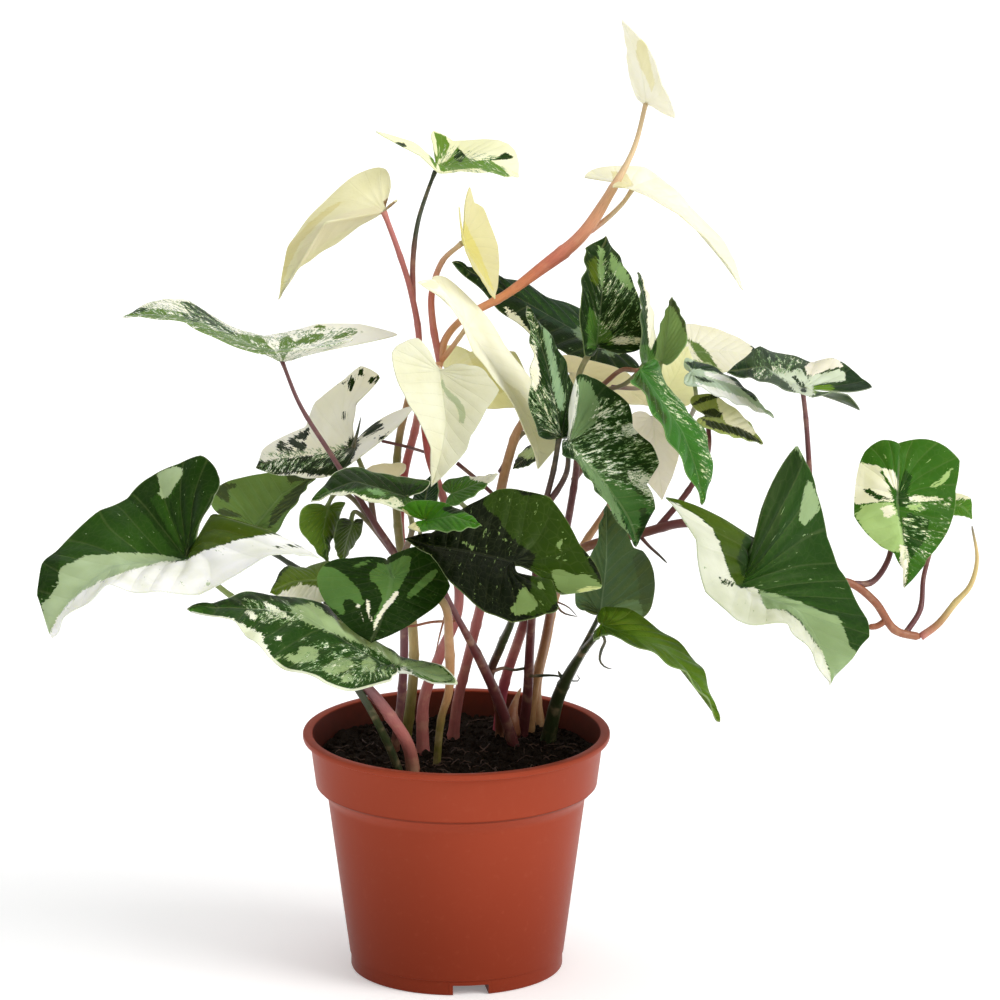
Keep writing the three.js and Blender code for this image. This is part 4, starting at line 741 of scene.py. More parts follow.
JOINT_GAP = 0.6  # of the radius, for a petiole that meets its blade at a slant
KNOT_GAPS_MM = (26, 38)
KNOT_SWELL = 0.12
KNOT_MM = 1.3
LOOSE_END = 0.5  # how much a tube narrows where no leaf ends it


def tube_path(tube):
    points = place(tube["places"])
    if tube["soil"]:
        points = np.vstack([[*tube["soil"], SOIL_LEVEL - SOIL_DEPTH_MM], points])
    if tube["leaf"]:
        surface = blade_surface(LEAVES[tube["leaf"]])
        at = np.zeros((1, 2))
        normal, joint = blade_normals(surface, at)[0], surface(at)[0]
        arrival = joint - points[-1]
        slant = np.linalg.norm(np.cross(arrival / np.linalg.norm(arrival), normal))
        gap = BLADE_MM / 2 + tube["radii"][-1] * slant * JOINT_GAP
        points = np.vstack([points, joint - normal * gap])
    return points


def make_stem(name, tubes, material, node=None):
    shells, run, turn, tint = [], [], [], []
    for tube in tubes:
        guide = tube_path(tube)
        length = step_lengths(guide).sum()
        path = curve_through(guide, max(FEWEST_RINGS, int(length / RING_GAP_MM)))
        share = np.linspace(0, 1, len(path))
        radii = spread(tube["radii"], share)
        if tube["soil"]:
            radii *= 1 + FOOT_SWELL * np.exp(-share * length / FOOT_SWELL_MM)
        if tube["leaf"]:
            radii *= 1 + JOINT_SWELL * np.exp(-((1 - share) * length / JOINT_SWELL_MM) ** 2)
        knot_gap = dice.uniform(*KNOT_GAPS_MM)
        knots = (share * length / knot_gap + dice.uniform(0, 1)) % 1 - 0.5
        radii *= 1 + KNOT_SWELL * np.exp(-(knots * knot_gap / KNOT_MM) ** 2)
        if not tube["leaf"]:
            radii[-1] *= LOOSE_END
        shells.append(sweep(path, radii, STEM_SIDES))
        run.append(np.repeat(share * length, STEM_SIDES) + dice.uniform(0, 500))
        turn.append(np.tile(angles_round(STEM_SIDES), len(path)))
        colours = np.array([srgb(*STEM_COLOURS[colour]) for colour in tube["colours"]])
        tint.append(np.repeat(spread(colours, share), STEM_SIDES, axis=0))
    piece = new_piece(name, *joined(shells), material)
    give_attribute(piece.data, "run", np.concatenate(run))
    give_attribute(piece.data, "turn", np.concatenate(turn))
    give_attribute(piece.data, "tint", np.vstack(tint))
    hand_over(piece, node)


# ---- Leaf markings ----
# A marking is a base tone and patches of other tones. Each patch is a tone and the points u,v of its
# outline on the sheet; `marble` is where streaks show. The keywords say how ragged the patches' edges
# are, how much marbling and how many flecks there are, how wide the pale rim is, how plain the veins
# are, and which tones differ from the palette's.
TONES = ("green", "olive", "sage", "cream", "dark")
OUTSIDE = 100  # sheet units: further outside a patch than this is all the same
PALETTE = {
    "cream": (246, 241, 214), "sage": (172, 190, 146), "olive": (70, 88, 20), "green": (34, 72, 18),
    "dark": (9, 30, 7), "marbled": (104, 134, 92),
}


def marking(base, text, ragged=9, marbling=0, flecks=0, roughness=0.3, rim=0, veins=1, **tones):
    patches = []
    for word in text.split():
        if word.isalpha():
            patches.append((word, []))
        else:
            patches[-1][1].extend(numbers(word))
    return {"base": base, "patches": patches, "ragged": ragged, "marbling": marbling, "flecks": flecks,
            "roughness": roughness, "rim": rim, "veins": veins, "tones": {**PALETTE, **tones}}


MARKINGS = {
    "leaf_top": marking("cream", """
        sage 638,40 646,38 650,60 656,84 652,92 646,76 640,66 636,54
        """, ragged=2, cream=(252, 246, 228), sage=(238, 228, 192)),
    "leaf_drooping_cream": marking("cream", """
        sage 612,172 626,174 634,186 614,190
        """, ragged=2, cream=(248, 244, 218), sage=(230, 220, 176)),
    # On this leaf the green patch, a band below the midrib up to the joint, is painted shade.
    "leaf_pale_left": marking("cream", """
        sage 276,300 270,282 284,250 306,226 330,206 346,200 320,222 300,244 288,268 282,290
        green 300,266 312,250 336,236 360,222 384,210 378,206 350,212 322,226 306,240 296,258
        dark 381,213 386,208 383,202 388,198 392,200 397,204 392,208 386,212
        dark 386,163 389,163 389,169 386,168
        """, ragged=2, cream=(226, 219, 184), sage=(216, 204, 158), green=(224, 214, 182),
        dark=(122, 82, 50), roughness=0.4),
    "leaf_small_top": marking("cream", """
        green 434,132 445,136 450,144 446,155 438,160 437,148
        green 427,152 432,150 438,158 436,170 431,162
        green 452,155 458,147 464,155 472,161 490,160 502,168 510,177 498,177 480,169 460,170 441,173
          438,164 448,161
        dark 453,158 459,148 466,156 461,164
        dark 486,160 498,157 506,152 514,158 505,160 494,161
        dark 395,143 400,141 408,146 402,149
        marble 440,144 470,150 500,158 508,178 440,173
        """, ragged=2, marbling=-0.06, green=(92, 128, 46), dark=(24, 44, 20), cream=(238, 238, 200)),
    "leaf_yellow": marking("cream", """
        sage 461,212 465,222 480,254 494,292 488,286 472,260 460,240
        """, ragged=2, cream=(206, 199, 156), sage=(206, 196, 124)),
    "leaf_wing_left": marking("cream", """
        green 118,316 134,309 160,309 182,312 204,322 214,330 234,334 258,348 280,364 262,364 228,350
          196,334 168,321 142,318
        green 200,310 216,320 236,334 262,336 268,345 276,352 282,361 268,354 246,344 222,331 208,322
        green 280,340 288,335 296,342 308,334 330,334 316,343 298,346 288,352 283,361 278,350
        green 312,328 320,324 329,328 318,331
        green 328,338 350,331 374,331 352,335 334,341
        dark 122,316 134,309 144,307 151,310 138,314
        dark 178,301 190,302 203,309 216,320 232,330 244,336 228,335 206,325 190,315
        dark 181,313 196,315 205,322 194,323 184,319
        marble 120,300 200,300 282,340 282,366 200,340 120,322
        marble 278,330 360,328 340,345 280,364
        """, ragged=3, marbling=-0.015, green=(88, 116, 46), dark=(34, 54, 26), cream=(252, 250, 236)),
    "leaf_speckled": marking("cream", """
        dark 254,461 270,460 290,457 312,455 332,452 345,446 351,437 357,434 360,442 356,452 350,470 330,478
          300,474 280,475 262,478 252,474
        dark 277,444 283,441 288,446 285,454 278,455
        dark 289,438 296,436 298,444 292,448
        dark 299,434 308,429 307,438 301,442
        dark 286,450 293,447 296,454 287,457
        dark 298,443 306,443 305,453 298,452
        dark 339,383 344,380 347,384 342,387
        dark 350,377 353,375 354,383 351,390 348,384
        dark 358,375 361,367 368,371 362,379
        dark 367,380 381,375 382,381 370,384
        dark 343,413 346,413 346,421 343,420
        dark 361,435 368,427 380,419 385,428 378,431 368,436
        dark 376,439 386,434 388,430 390,434 380,441
        marble 258,455 300,452 345,446 345,462 300,470 262,472
        """, ragged=7, marbling=-0.01, dark=(16, 30, 14), cream=(244, 240, 228)),
    "leaf_cream_heart": marking("cream", """
        sage 441,372 445,386 451,392 458,398 464,406 466,415 464,424 459,423 459,412 455,404 447,396 441,386
        """, ragged=1.5, cream=(220, 219, 194), sage=(178, 188, 158)),
    "leaf_long_cream": marking("cream", """
        sage 502,380 520,392 536,416 558,440 548,470 534,470 520,440 508,408
        sage 418,286 430,280 440,284 436,290
        """, ragged=2, cream=(255, 251, 218), sage=(240, 234, 194)),
    "leaf_cream_behind_heart": marking("cream", """
        sage 466,350 500,350 522,384 500,394 478,378
        """, ragged=2, cream=(228, 222, 172), sage=(214, 206, 146)),
    # On this leaf the second sage patch, a small streak by the lower edge, is a painted highlight.
    "leaf_dark_long": marking("dark", """
        sage 572,331 581,325 591,334 590,343 580,341
        sage 600,351 612,349 622,353 610,357
        cream 504,306 516,315 528,329 542,345 534,348 520,333 508,320
        green 500,276 540,290 600,318 610,334 570,334 530,312
        """, ragged=5, flecks=0.02, dark=(16, 32, 14), green=(30, 54, 34), sage=(112, 134, 108)),
    "leaf_dark_upright": marking("dark", """
        olive 588,262 596,256 600,270 598,286 590,280
        green 589,308 598,317 610,330 617,340 611,346 600,341 594,350 586,346 587,325
        sage 598,246 606,250 612,262 606,284 600,290 598,270
        sage 609,250 615,257 628,273 636,290 628,290 618,280 611,272 608,262
        cream 609,340 620,336 640,337 642,343 620,344
        dark 604,238 610,246 609,270 606,292 602,292 604,270
        marble 606,262 634,284 642,345 600,336 596,300
        """, ragged=6, marbling=-0.04, flecks=0.05, dark=(18, 38, 14), green=(64, 104, 40),
        sage=(120, 150, 96)),
    "leaf_thin_upright": marking("dark", """
        cream 640,272 648,284 654,306 658,334 650,350 647,330 646,300
        green 640,345 650,345 660,372 640,372
        """, ragged=3, dark=(28, 56, 20), green=(62, 100, 40)),
    "leaf_sage_upright": marking("sage", """
        dark 655,328 661,310 669,297 675,298 686,324 688,336 681,322 674,306 668,306 661,320
        """, ragged=3, sage=(124, 156, 96), dark=(22, 44, 16)),
    "leaf_yellow_tuck": marking("cream", """
        """, cream=(232, 229, 180)),
    "leaf_hanging_green": marking("green", """
        marble 652,372 668,378 690,404 703,424 710,448 713,482 704,478 698,442 686,424 668,408
        olive 630,368 644,382 656,400 668,418 664,424 650,400 636,384
        """, ragged=6, flecks=0.05, green=(50, 104, 34), olive=(44, 70, 14), sage=(158, 196, 124),
        cream=(222, 232, 190)),
    "leaf_marbled_narrow": marking("dark", """
        sage 542,316 547,326 552,348 557,370 564,396 564,410 558,410 553,388 549,366 544,342
        cream 528,345 535,345 537,360 540,376 536,394 530,385
        marble 528,388 545,384 556,410 561,437 546,430 530,414
        marble 526,306 534,318 541,345 534,350 530,330
        """, ragged=5, marbling=-0.01, flecks=0.05, dark=(20, 42, 16), sage=(128, 156, 122)),
    "leaf_marbled_big": marking("dark", """
        green 572,442 604,474 618,481 632,484 640,494 650,498 660,509 650,514 642,506 638,526 637,548
          628,532 618,510 606,490 580,462
        sage 577,377 590,382 595,392 600,405 600,416 592,428 580,437 568,441 575,410 577,390
        sage 570,446 590,460 606,484 618,510 632,542 624,536 612,514 598,490 580,466
        cream 570,376 577,378 575,412 569,440 560,440 566,414
        cream 626,470 644,472 664,478 664,502 654,500 642,492 630,482
        cream 621,425 632,423 637,433 628,439 621,434
        dark 612,474 622,473 632,480 618,478
        marble 596,398 624,402 632,436 652,450 668,468 664,506 640,500 604,476 566,446 590,430
        """, ragged=7, marbling=0.01, flecks=0.06, dark=(22, 46, 18), green=(50, 92, 42),
        sage=(112, 140, 98), cream=(236, 238, 222)),
    "leaf_cream_back_right": marking("cream", """
        green 688,340 700,344 712,358 720,373 708,369 696,356
        sage 690,360 708,363 722,371 700,369
        dark 752,344 764,347 764,353 752,351
        """, ragged=4, cream=(226, 222, 202), green=(84, 110, 46), sage=(150, 166, 120)),
    "leaf_pale_right": marking("sage", """
        cream 694,382 702,385 716,389 732,394 746,399 758,408 776,420 752,416 726,402 706,394
        cream 704,372 720,374 736,382 742,388 724,382 706,377
        dark 684,362 706,362 726,369 742,379 752,393 758,404 744,392 732,380 716,372 692,369
        dark 692,376 704,378 716,383 704,383
        """, ragged=3, flecks=0.03, cream=(242, 243, 234), sage=(176, 194, 172), dark=(34, 56, 38)),
    "leaf_olive_right": marking("olive", """
        cream 716,394 722,395 734,402 744,414 756,434 748,438 738,432 726,424 719,412
        dark 690,406 702,397 714,395 722,397 708,401 698,405
        dark 699,412 712,409 724,414 720,419 704,417
        dark 699,418 715,422 731,426 746,431 766,446 750,441 734,435 710,428
        """, ragged=3, cream=(252, 244, 208), olive=(146, 156, 88), dark=(34, 42, 18)),
    "leaf_right_umbrella": marking("green", """
        sage 770,372 780,367 790,372 800,367 807,380 813,386 814,396 805,399 796,393 788,383 780,378
        sage 808,376 820,374 836,369 847,374 844,380 830,384 812,386
        olive 812,386 830,384 840,388 830,392 818,393 811,397
        cream 804,367 812,362 830,359 840,360 843,367 832,370 820,373 808,376
        dark 791,375 796,377 807,390 804,394 798,385
        dark 753,346 770,351 783,366 778,369 767,359
        dark 725,376 732,366 744,363 756,370 756,380
        dark 844,364 856,372 874,388 862,398 860,412 848,398 830,387 842,382 850,385 845,376
        marble 755,350 800,362 800,372 755,378
        """, ragged=5, marbling=-0.03, flecks=0.04, dark=(24, 44, 24), green=(46, 66, 40),
        sage=(198, 208, 190), olive=(90, 124, 34), cream=(236, 228, 216)),
    "leaf_big_right": marking("green", """
        dark 744,582 736,560 750,520 772,482 792,450 800,448 800,470 784,500 778,530 760,566
        olive 664,492 690,503 706,510 722,514 738,520 756,534 758,546 751,553 748,575 741,585 734,585
          729,572 724,558 719,542 711,527 698,515 668,503
        sage 757,590 775,595 795,600 818,611 838,616 846,634 850,648 858,652 850,664 832,692 828,668 821,650
          811,637 800,621 786,611 765,610
        sage 806,486 809,479 814,489 818,501 822,507 813,516 804,526 799,524 800,505 803,495
        sage 789,457 796,444 801,450 803,460 797,463
        cream 655,496 674,503 697,515 711,527 719,542 724,558 729,573 733,583 740,588 756,588 761,598
          764,609 785,611 800,622 811,638 821,652 828,668 832,695 800,700 690,640 655,560
        dark 717,576 726,579 731,584 738,584 729,587 720,582
        """, ragged=3.5, flecks=0.02, green=(28, 58, 16), dark=(24, 48, 12), olive=(58, 80, 12),
        sage=(136, 158, 118), cream=(214, 216, 200)),
    "leaf_right_heart": marking("green", """
        dark 897,500 900,482 905,470 912,476 907,495 912,504 902,508
        dark 902,520 908,512 930,520 926,540 910,560 904,540
        sage 855,516 862,505 880,502 893,502 898,516 902,532 906,552 900,553 885,550 870,537 860,524
        sage 903,505 920,503 927,510 912,512
        sage 903,524 914,522 917,530 905,530
        sage 929,487 942,477 952,468 945,482 934,489
        cream 846,462 866,464 878,467 884,478 890,490 893,500 880,502 858,504 848,502
        cream 881,468 893,470 897,478 899,492 891,486 885,478
        cream 879,507 892,504 896,515 885,518
        cream 899,545 908,545 909,560 906,580 902,592 901,570
        cream 901,498 916,496 930,498 948,499 930,502 912,502
        dark 862,487 870,489 880,495 890,499 880,500 868,495
        marble 904,500 950,500 946,530 925,560 905,560
        """, ragged=4, marbling=-0.03, flecks=0.05, green=(44, 92, 26), dark=(20, 50, 14),
        sage=(164, 192, 128)),
    "leaf_tiny_right": marking("green", """
        cream 946,488 966,488 974,498 950,501
        """, ragged=4, flecks=0.06, green=(70, 122, 34)),
    # On this leaf the first two dark patches, which run up from the joint along side veins, are painted
    # shade in the blade's creases.
    "leaf_big_left": marking("green", """
        dark 172,465 184,458 204,454 222,470 216,500 196,540 187,558 178,530 168,505 178,484 186,470
        dark 128,498 155,470 162,490 150,500 168,530 182,556 172,550 150,520
        dark 36,600 40,570 48,548 62,548 58,572 58,584 50,596
        olive 197,522 213,511 226,513 244,517 264,527 300,532 318,540 330,560 318,552 300,540 276,535
          258,536 240,539 222,546 205,551 192,560 186,556 196,540
        sage 50,598 52,592 60,583 58,574 62,567 78,560 84,556 120,553 155,554 184,560 160,564 120,575
          100,584 82,594 66,608 54,642 46,632 42,604
        sage 156,473 165,470 175,466 184,465 185,471 178,482 172,490 168,498 161,500 156,492 152,489 158,484
        sage 199,468 203,468 202,482 197,494 194,491
        sage 203,460 208,457 212,466 209,473 204,468
        cream 40,650 52,630 58,618 68,605 82,592 100,582 120,574 140,568 160,563 187,561 195,556 205,551
          222,546 240,539 258,536 278,535 298,539 314,547 332,562 332,600 200,630 60,660
        dark 268,549 280,545 292,545 306,549 292,548 280,548
        """, ragged=3.5, flecks=0.015, green=(32, 62, 18), dark=(22, 46, 12), olive=(60, 82, 12),
        sage=(166, 184, 152), cream=(255, 254, 250)),
    "leaf_sage_left": marking("sage", """
        dark 213,488 222,484 235,483 236,488 227,490 231,496 230,503 223,502 217,494
        dark 212,511 226,508 233,512 242,516 226,518
        dark 322,476 310,481 299,500 286,513 268,530 272,514 282,500 298,486 312,476
        dark 284,473 296,468 326,466 326,478 305,479 290,484
        """, ragged=4, sage=(92, 124, 58), dark=(20, 38, 12)),
    "leaf_shelf_left": marking("green", """
        dark 320,484 345,468 352,470 400,484 432,486 404,500 384,490 360,488 330,492
        sage 366,479 376,483 386,497 374,495 365,488
        sage 346,480 350,475 358,478 350,487
        sage 325,488 336,482 342,486 330,493
        cream 306,504 320,500 332,494 346,491 360,496 375,499 386,500 393,497 401,502 404,507 385,508
          365,501 345,497 330,499 318,504
        """, ragged=5, flecks=0.06, green=(46, 80, 26), dark=(22, 44, 14), sage=(110, 146, 96),
        cream=(232, 234, 206), rim=0.7),
    "leaf_hanging_left": marking("green", """
        dark 326,540 334,530 334,566 320,566
        """, flecks=0.03, green=(78, 108, 30), dark=(42, 66, 18)),
    "leaf_curled_left": marking("olive", """
        dark 340,514 364,514 364,524 350,522 340,530
        """, olive=(52, 74, 16), dark=(24, 36, 10)),
    "leaf_bright_small": marking("green", """
        dark 440,508 462,506 470,513 450,514
        cream 398,508 408,512 420,530 428,542 400,532
        """, ragged=4, green=(52, 108, 14), cream=(214, 204, 160)),
    "leaf_olive_left": marking("olive", """
        dark 268,594 272,580 281,567 292,564 282,573 276,584
        cream 288,590 299,584 312,586 324,590 324,604 282,604 276,597
        """, ragged=5, olive=(84, 108, 20), dark=(30, 46, 10), cream=(242, 238, 226)),
    "leaf_front_facing": marking("dark", """
        sage 316,566 333,567 342,573 350,580 358,588 365,603 359,606 351,600 344,600 343,607 347,618 336,610
          325,604 312,594
        sage 370,571 377,569 378,562 384,566 394,562 403,556 411,557 409,570 402,584 394,597 386,609 379,621
          375,631 372,622 378,610 383,600 380,590 376,584 370,582
        sage 405,603 408,593 417,583 427,574 436,569 438,572 431,581 421,590 411,598
        sage 352,567 362,562 372,560 366,565 356,569
        cream 397,590 399,594 391,604 383,614 376,628 373,634 374,622 380,611 388,600
        cream 367,598 371,602 370,612 374,625 370,620 366,610
        cream 356,602 359,605 360,612 364,622 360,616 356,610
        """, ragged=2.5, flecks=0.04, dark=(20, 42, 10), sage=(84, 122, 62), veins=0.5),
    "leaf_front_left": marking("green", """
        sage 290,606 310,604 331,610 351,622 369,636 386,648 403,662 412,670 395,664 371,649 350,641 325,631
          304,624 290,612
        sage 299,647 310,645 318,650 320,657 310,664 294,662 280,660 268,661 282,655 296,654
        sage 320,670 334,660 342,657 357,664 346,672 330,676
        sage 361,660 370,657 376,664 374,673 362,672
        sage 340,677 350,673 355,681 342,685
        sage 379,669 388,671 386,677
        olive 403,660 420,662 441,668 460,684 440,684 420,676 407,670
        cream 213,617 232,619 250,629 263,634 259,650 249,641 234,629
        cream 245,612 252,611 259,618 250,621
        cream 262,600 272,604 284,612 296,622 280,618 266,610
        cream 330,610 338,614 348,624 340,622
        cream 252,634 262,640 269,652 273,662 262,653 255,644
        cream 275,636 282,635 281,641 276,641
        cream 401,667 413,671 411,683 399,677
        dark 318,602 340,611 353,620 344,622 325,614
        dark 188,606 230,600 262,592 300,600 290,606 262,600 240,606
        dark 436,684 452,679 446,692
        marble 240,600 300,604 300,625 262,622
        marble 300,640 380,650 392,672 350,688 300,672
        """, ragged=5.5, marbling=-0.045, flecks=0.05, green=(30, 58, 20), dark=(20, 38, 14),
        sage=(146, 166, 124), cream=(230, 234, 214), rim=0.8, olive=(104, 126, 88)),
    "leaf_dark_centre": marking("dark", """
        green 482,500 500,487 512,486 522,496 550,496 567,508 574,530 587,560 606,590 590,592 558,600
          546,614 522,616 522,600 531,590 530,570 535,555 520,545 505,531 500,520 488,510
        sage 550,569 562,570 576,576 589,576 600,584 606,592 590,596 572,595 560,595 556,586
        sage 519,593 526,587 533,597 541,602 534,610 524,615 510,614 510,608 516,602
        sage 555,520 561,517 559,525 554,525
        sage 557,542 562,539 562,553 556,552
        sage 537,580 542,577 544,589 539,589
        sage 498,533 504,536 511,542 503,541
        sage 461,541 470,545 481,551 471,550
        cream 576,590 600,586 604,596 578,596
        """, ragged=4, flecks=0.05, dark=(4, 10, 2), green=(34, 54, 8), sage=(116, 140, 86),
        cream=(206, 214, 150), veins=0.2),
    "leaf_grey_underside": marking("green", """
        dark 632,558 640,546 652,562 656,582 650,602 640,606 638,580
        dark 578,600 600,608 604,620 590,616
        sage 612,608 625,600 642,600 642,618 625,614 614,616
        """, ragged=4, green=(44, 74, 42), dark=(32, 56, 28), sage=(84, 112, 78), roughness=0.45),
    "leaf_drooping_front": marking("green", """
        olive 600,612 640,612 700,660 722,724 690,690 640,642
        """, ragged=4, green=(58, 88, 16), olive=(74, 106, 24)),
    "leaf_small_centre": marking("green", """
        cream 462,474 480,472 500,474 496,484 478,482
        """, flecks=0.03, green=(48, 94, 14), cream=(222, 220, 206), ragged=4),
    "leaf_narrow_centre": marking("dark", """
        """, dark=(26, 56, 30), flecks=0.03),
    "leaf_cream_back_centre": marking("cream", """
        """, cream=(232, 222, 206)),
    "leaf_small_behind": marking("dark", """
        sage 512,456 534,446 545,450 530,460
        """, ragged=5),
    "leaf_cream_strip": marking("cream", """
        """, cream=(228, 216, 186)),
    "leaf_cream_back": marking("cream", """
        """, cream=(224, 212, 178)),
}


# ---- Materials ----
def srgb(red, green, blue):
    """A colour given as 0 to 255 screen values, as linear light."""
    parts = [c / 255 for c in (red, green, blue)]
    linear = [c / 12.92 if c <= 0.04045 else ((c + 0.055) / 1.055) ** 2.4 for c in parts]
    return (*linear, 1)


class Shader:
    """A material's node tree, built by short calls that give back sockets, and its colour so far."""

    def __init__(self, name, color=None):
        self.material = bpy.data.materials.new(name)
        self.material.use_nodes = True
        self.tree = self.material.node_tree
        self.skin = self.tree.nodes["Principled BSDF"]
        self.color = color

    def put(self, socket, value):
        if isinstance(value, bpy.types.NodeSocket):
            self.tree.links.new(value, socket)
        else:
            socket.default_value = value

    def node(self, kind, inputs, output=0, **settings):
        made = self.tree.nodes.new("ShaderNode" + kind)
        for key, value in settings.items():
            setattr(made, key, value)
        for key, value in inputs.items():
            self.put(made.inputs[key], value)
        return made.outputs[output]

    def attribute(self, name, output="Fac"):
        return self.node("Attribute", {}, output, attribute_name=name)

    def math(self, operation, *values):
        return self.node("Math", dict(enumerate(values)), operation=operation)

    def times(self, a, b):
        return self.math("MULTIPLY", a, b)

    def vary(self, middle, *noises):
        """A number that varies about its middle with noises, each given with its weight."""
        total = middle - sum(weight for _, weight in noises) / 2
        for noise, weight in noises:
            total = self.math("MULTIPLY_ADD", noise, weight, total)
        return total

    def vector(self, x, y, z):
        return self.node("CombineXYZ", {0: x, 1: y, 2: z})

    def place(self):
        """The point in the row frame, in millimetres."""
        point = self.node("TexCoord", {}, "Object")
        return self.node("VectorMath", {0: point, "Scale": 1 / MM}, operation="SCALE")

    def noise(self, vector, scale, detail=2.0, roughness=0.5, distortion=0.0):
        inputs = {"Vector": vector, "Scale": scale, "Detail": detail,
                  "Roughness": roughness, "Distortion": distortion}
        return self.node("TexNoise", inputs)

    def cells(self, vector, scale):
        inputs = {"Vector": vector, "Scale": scale}
        return self.node("TexVoronoi", inputs, "Distance", feature="DISTANCE_TO_EDGE")

    def step(self, value, low, high, to_low=0.0, to_high=1.0):
        """A soft step: `to_low` where value is under `low`, `to_high` where it is over `high`."""
        inputs = {"Value": value, "From Min": low, "From Max": high, "To Min": to_low, "To Max": to_high}
        return self.node("MapRange", inputs, interpolation_type="SMOOTHSTEP")

    def mix(self, share, a, b, blend="MIX"):
        return self.node("Mix", {0: share, 6: a, 7: b}, 2, data_type="RGBA", blend_type=blend)

    def paint(self, color, share, strength=1, blend="MIX"):
        """Lays a colour over the colour so far."""
        if strength != 1:
            share = self.times(share, strength)
        self.color = self.mix(share, self.color, color, blend)

    def bump(self, height, strength, depth_mm):
        inputs = {"Height": height, "Strength": strength, "Distance": depth_mm * MM}
        self.put(self.skin.inputs["Normal"], self.node("Bump", inputs))

    def finish(self, **sockets):
        """The material, with its colour so far and other sockets set on the shader itself."""
        self.put(self.skin.inputs["Base Color"], self.color)
        for name, value in sockets.items():
            self.put(self.skin.inputs[name.replace("_", " ")], value)
        return self.material


# Noises, each as its scale, detail, roughness and distortion.
BLOTCH = (0.16, 5.0, 0.62)
STREAK = (0.33, 5.0, 0.68, 0.4)
SPECK = (1.05, 3.0, 0.6)
GRIT = (2.3, 2.0, 0.6)
SLOW_TINT = (0.06, 3.0)
FINE_GRAIN = (2.4, 2.0)
NET_SCALE = 0.42
RAG_REACH = 1.5  # sheet units of raggedness for each unit of `ragged`
HALVES_APART = 9.0  # keeps the streaks on a blade's two halves unlike
MARBLE_EDGE = 2.0  # sheet units
PALE_STREAKS = (0.5, 0.53)
WHITE_STREAKS = (0.6, 0.62)
FLECK_EDGE = (0.74, 0.76)
FLECK_STRENGTH = 0.85
VEIN_EDGE = (0.07, 0.01)  # of the gap between side veins
MIDRIB_EDGE = (0.75, 0.25)  # millimetres from the midrib's middle
NET_EDGE = (0.09, 0.0)
VEIN_STRENGTH = 0.032
NET_STRENGTH = 0.012
MIDRIB_STRENGTH = 0.1
RIM_START = 0.985  # of the way from the midrib to the margin
RIM_WIDENING = 0.03
RIM_SOFTNESS = 0.015
LEAST_RIM = 0.3
SHADE_STRENGTH = 0.75
UNDERSIDE_STRENGTH = 0.07
VEIN_TINT = srgb(214, 226, 178)
UNDERSIDE_TINT = srgb(170, 190, 150)
LEAF_SHEEN = srgb(196, 214, 160)
PALE_SHADE = srgb(240, 238, 226)
GREEN_SHADE = srgb(206, 210, 192)
NO_SHADE = srgb(255, 255, 252)
SCATTER_MM = 2.2
EDGE_SOFTNESS = 0.45  # sheet units
STREAK_SQUEEZE = 0.35  # below 1, streaks are drawn out from the midrib to the margin


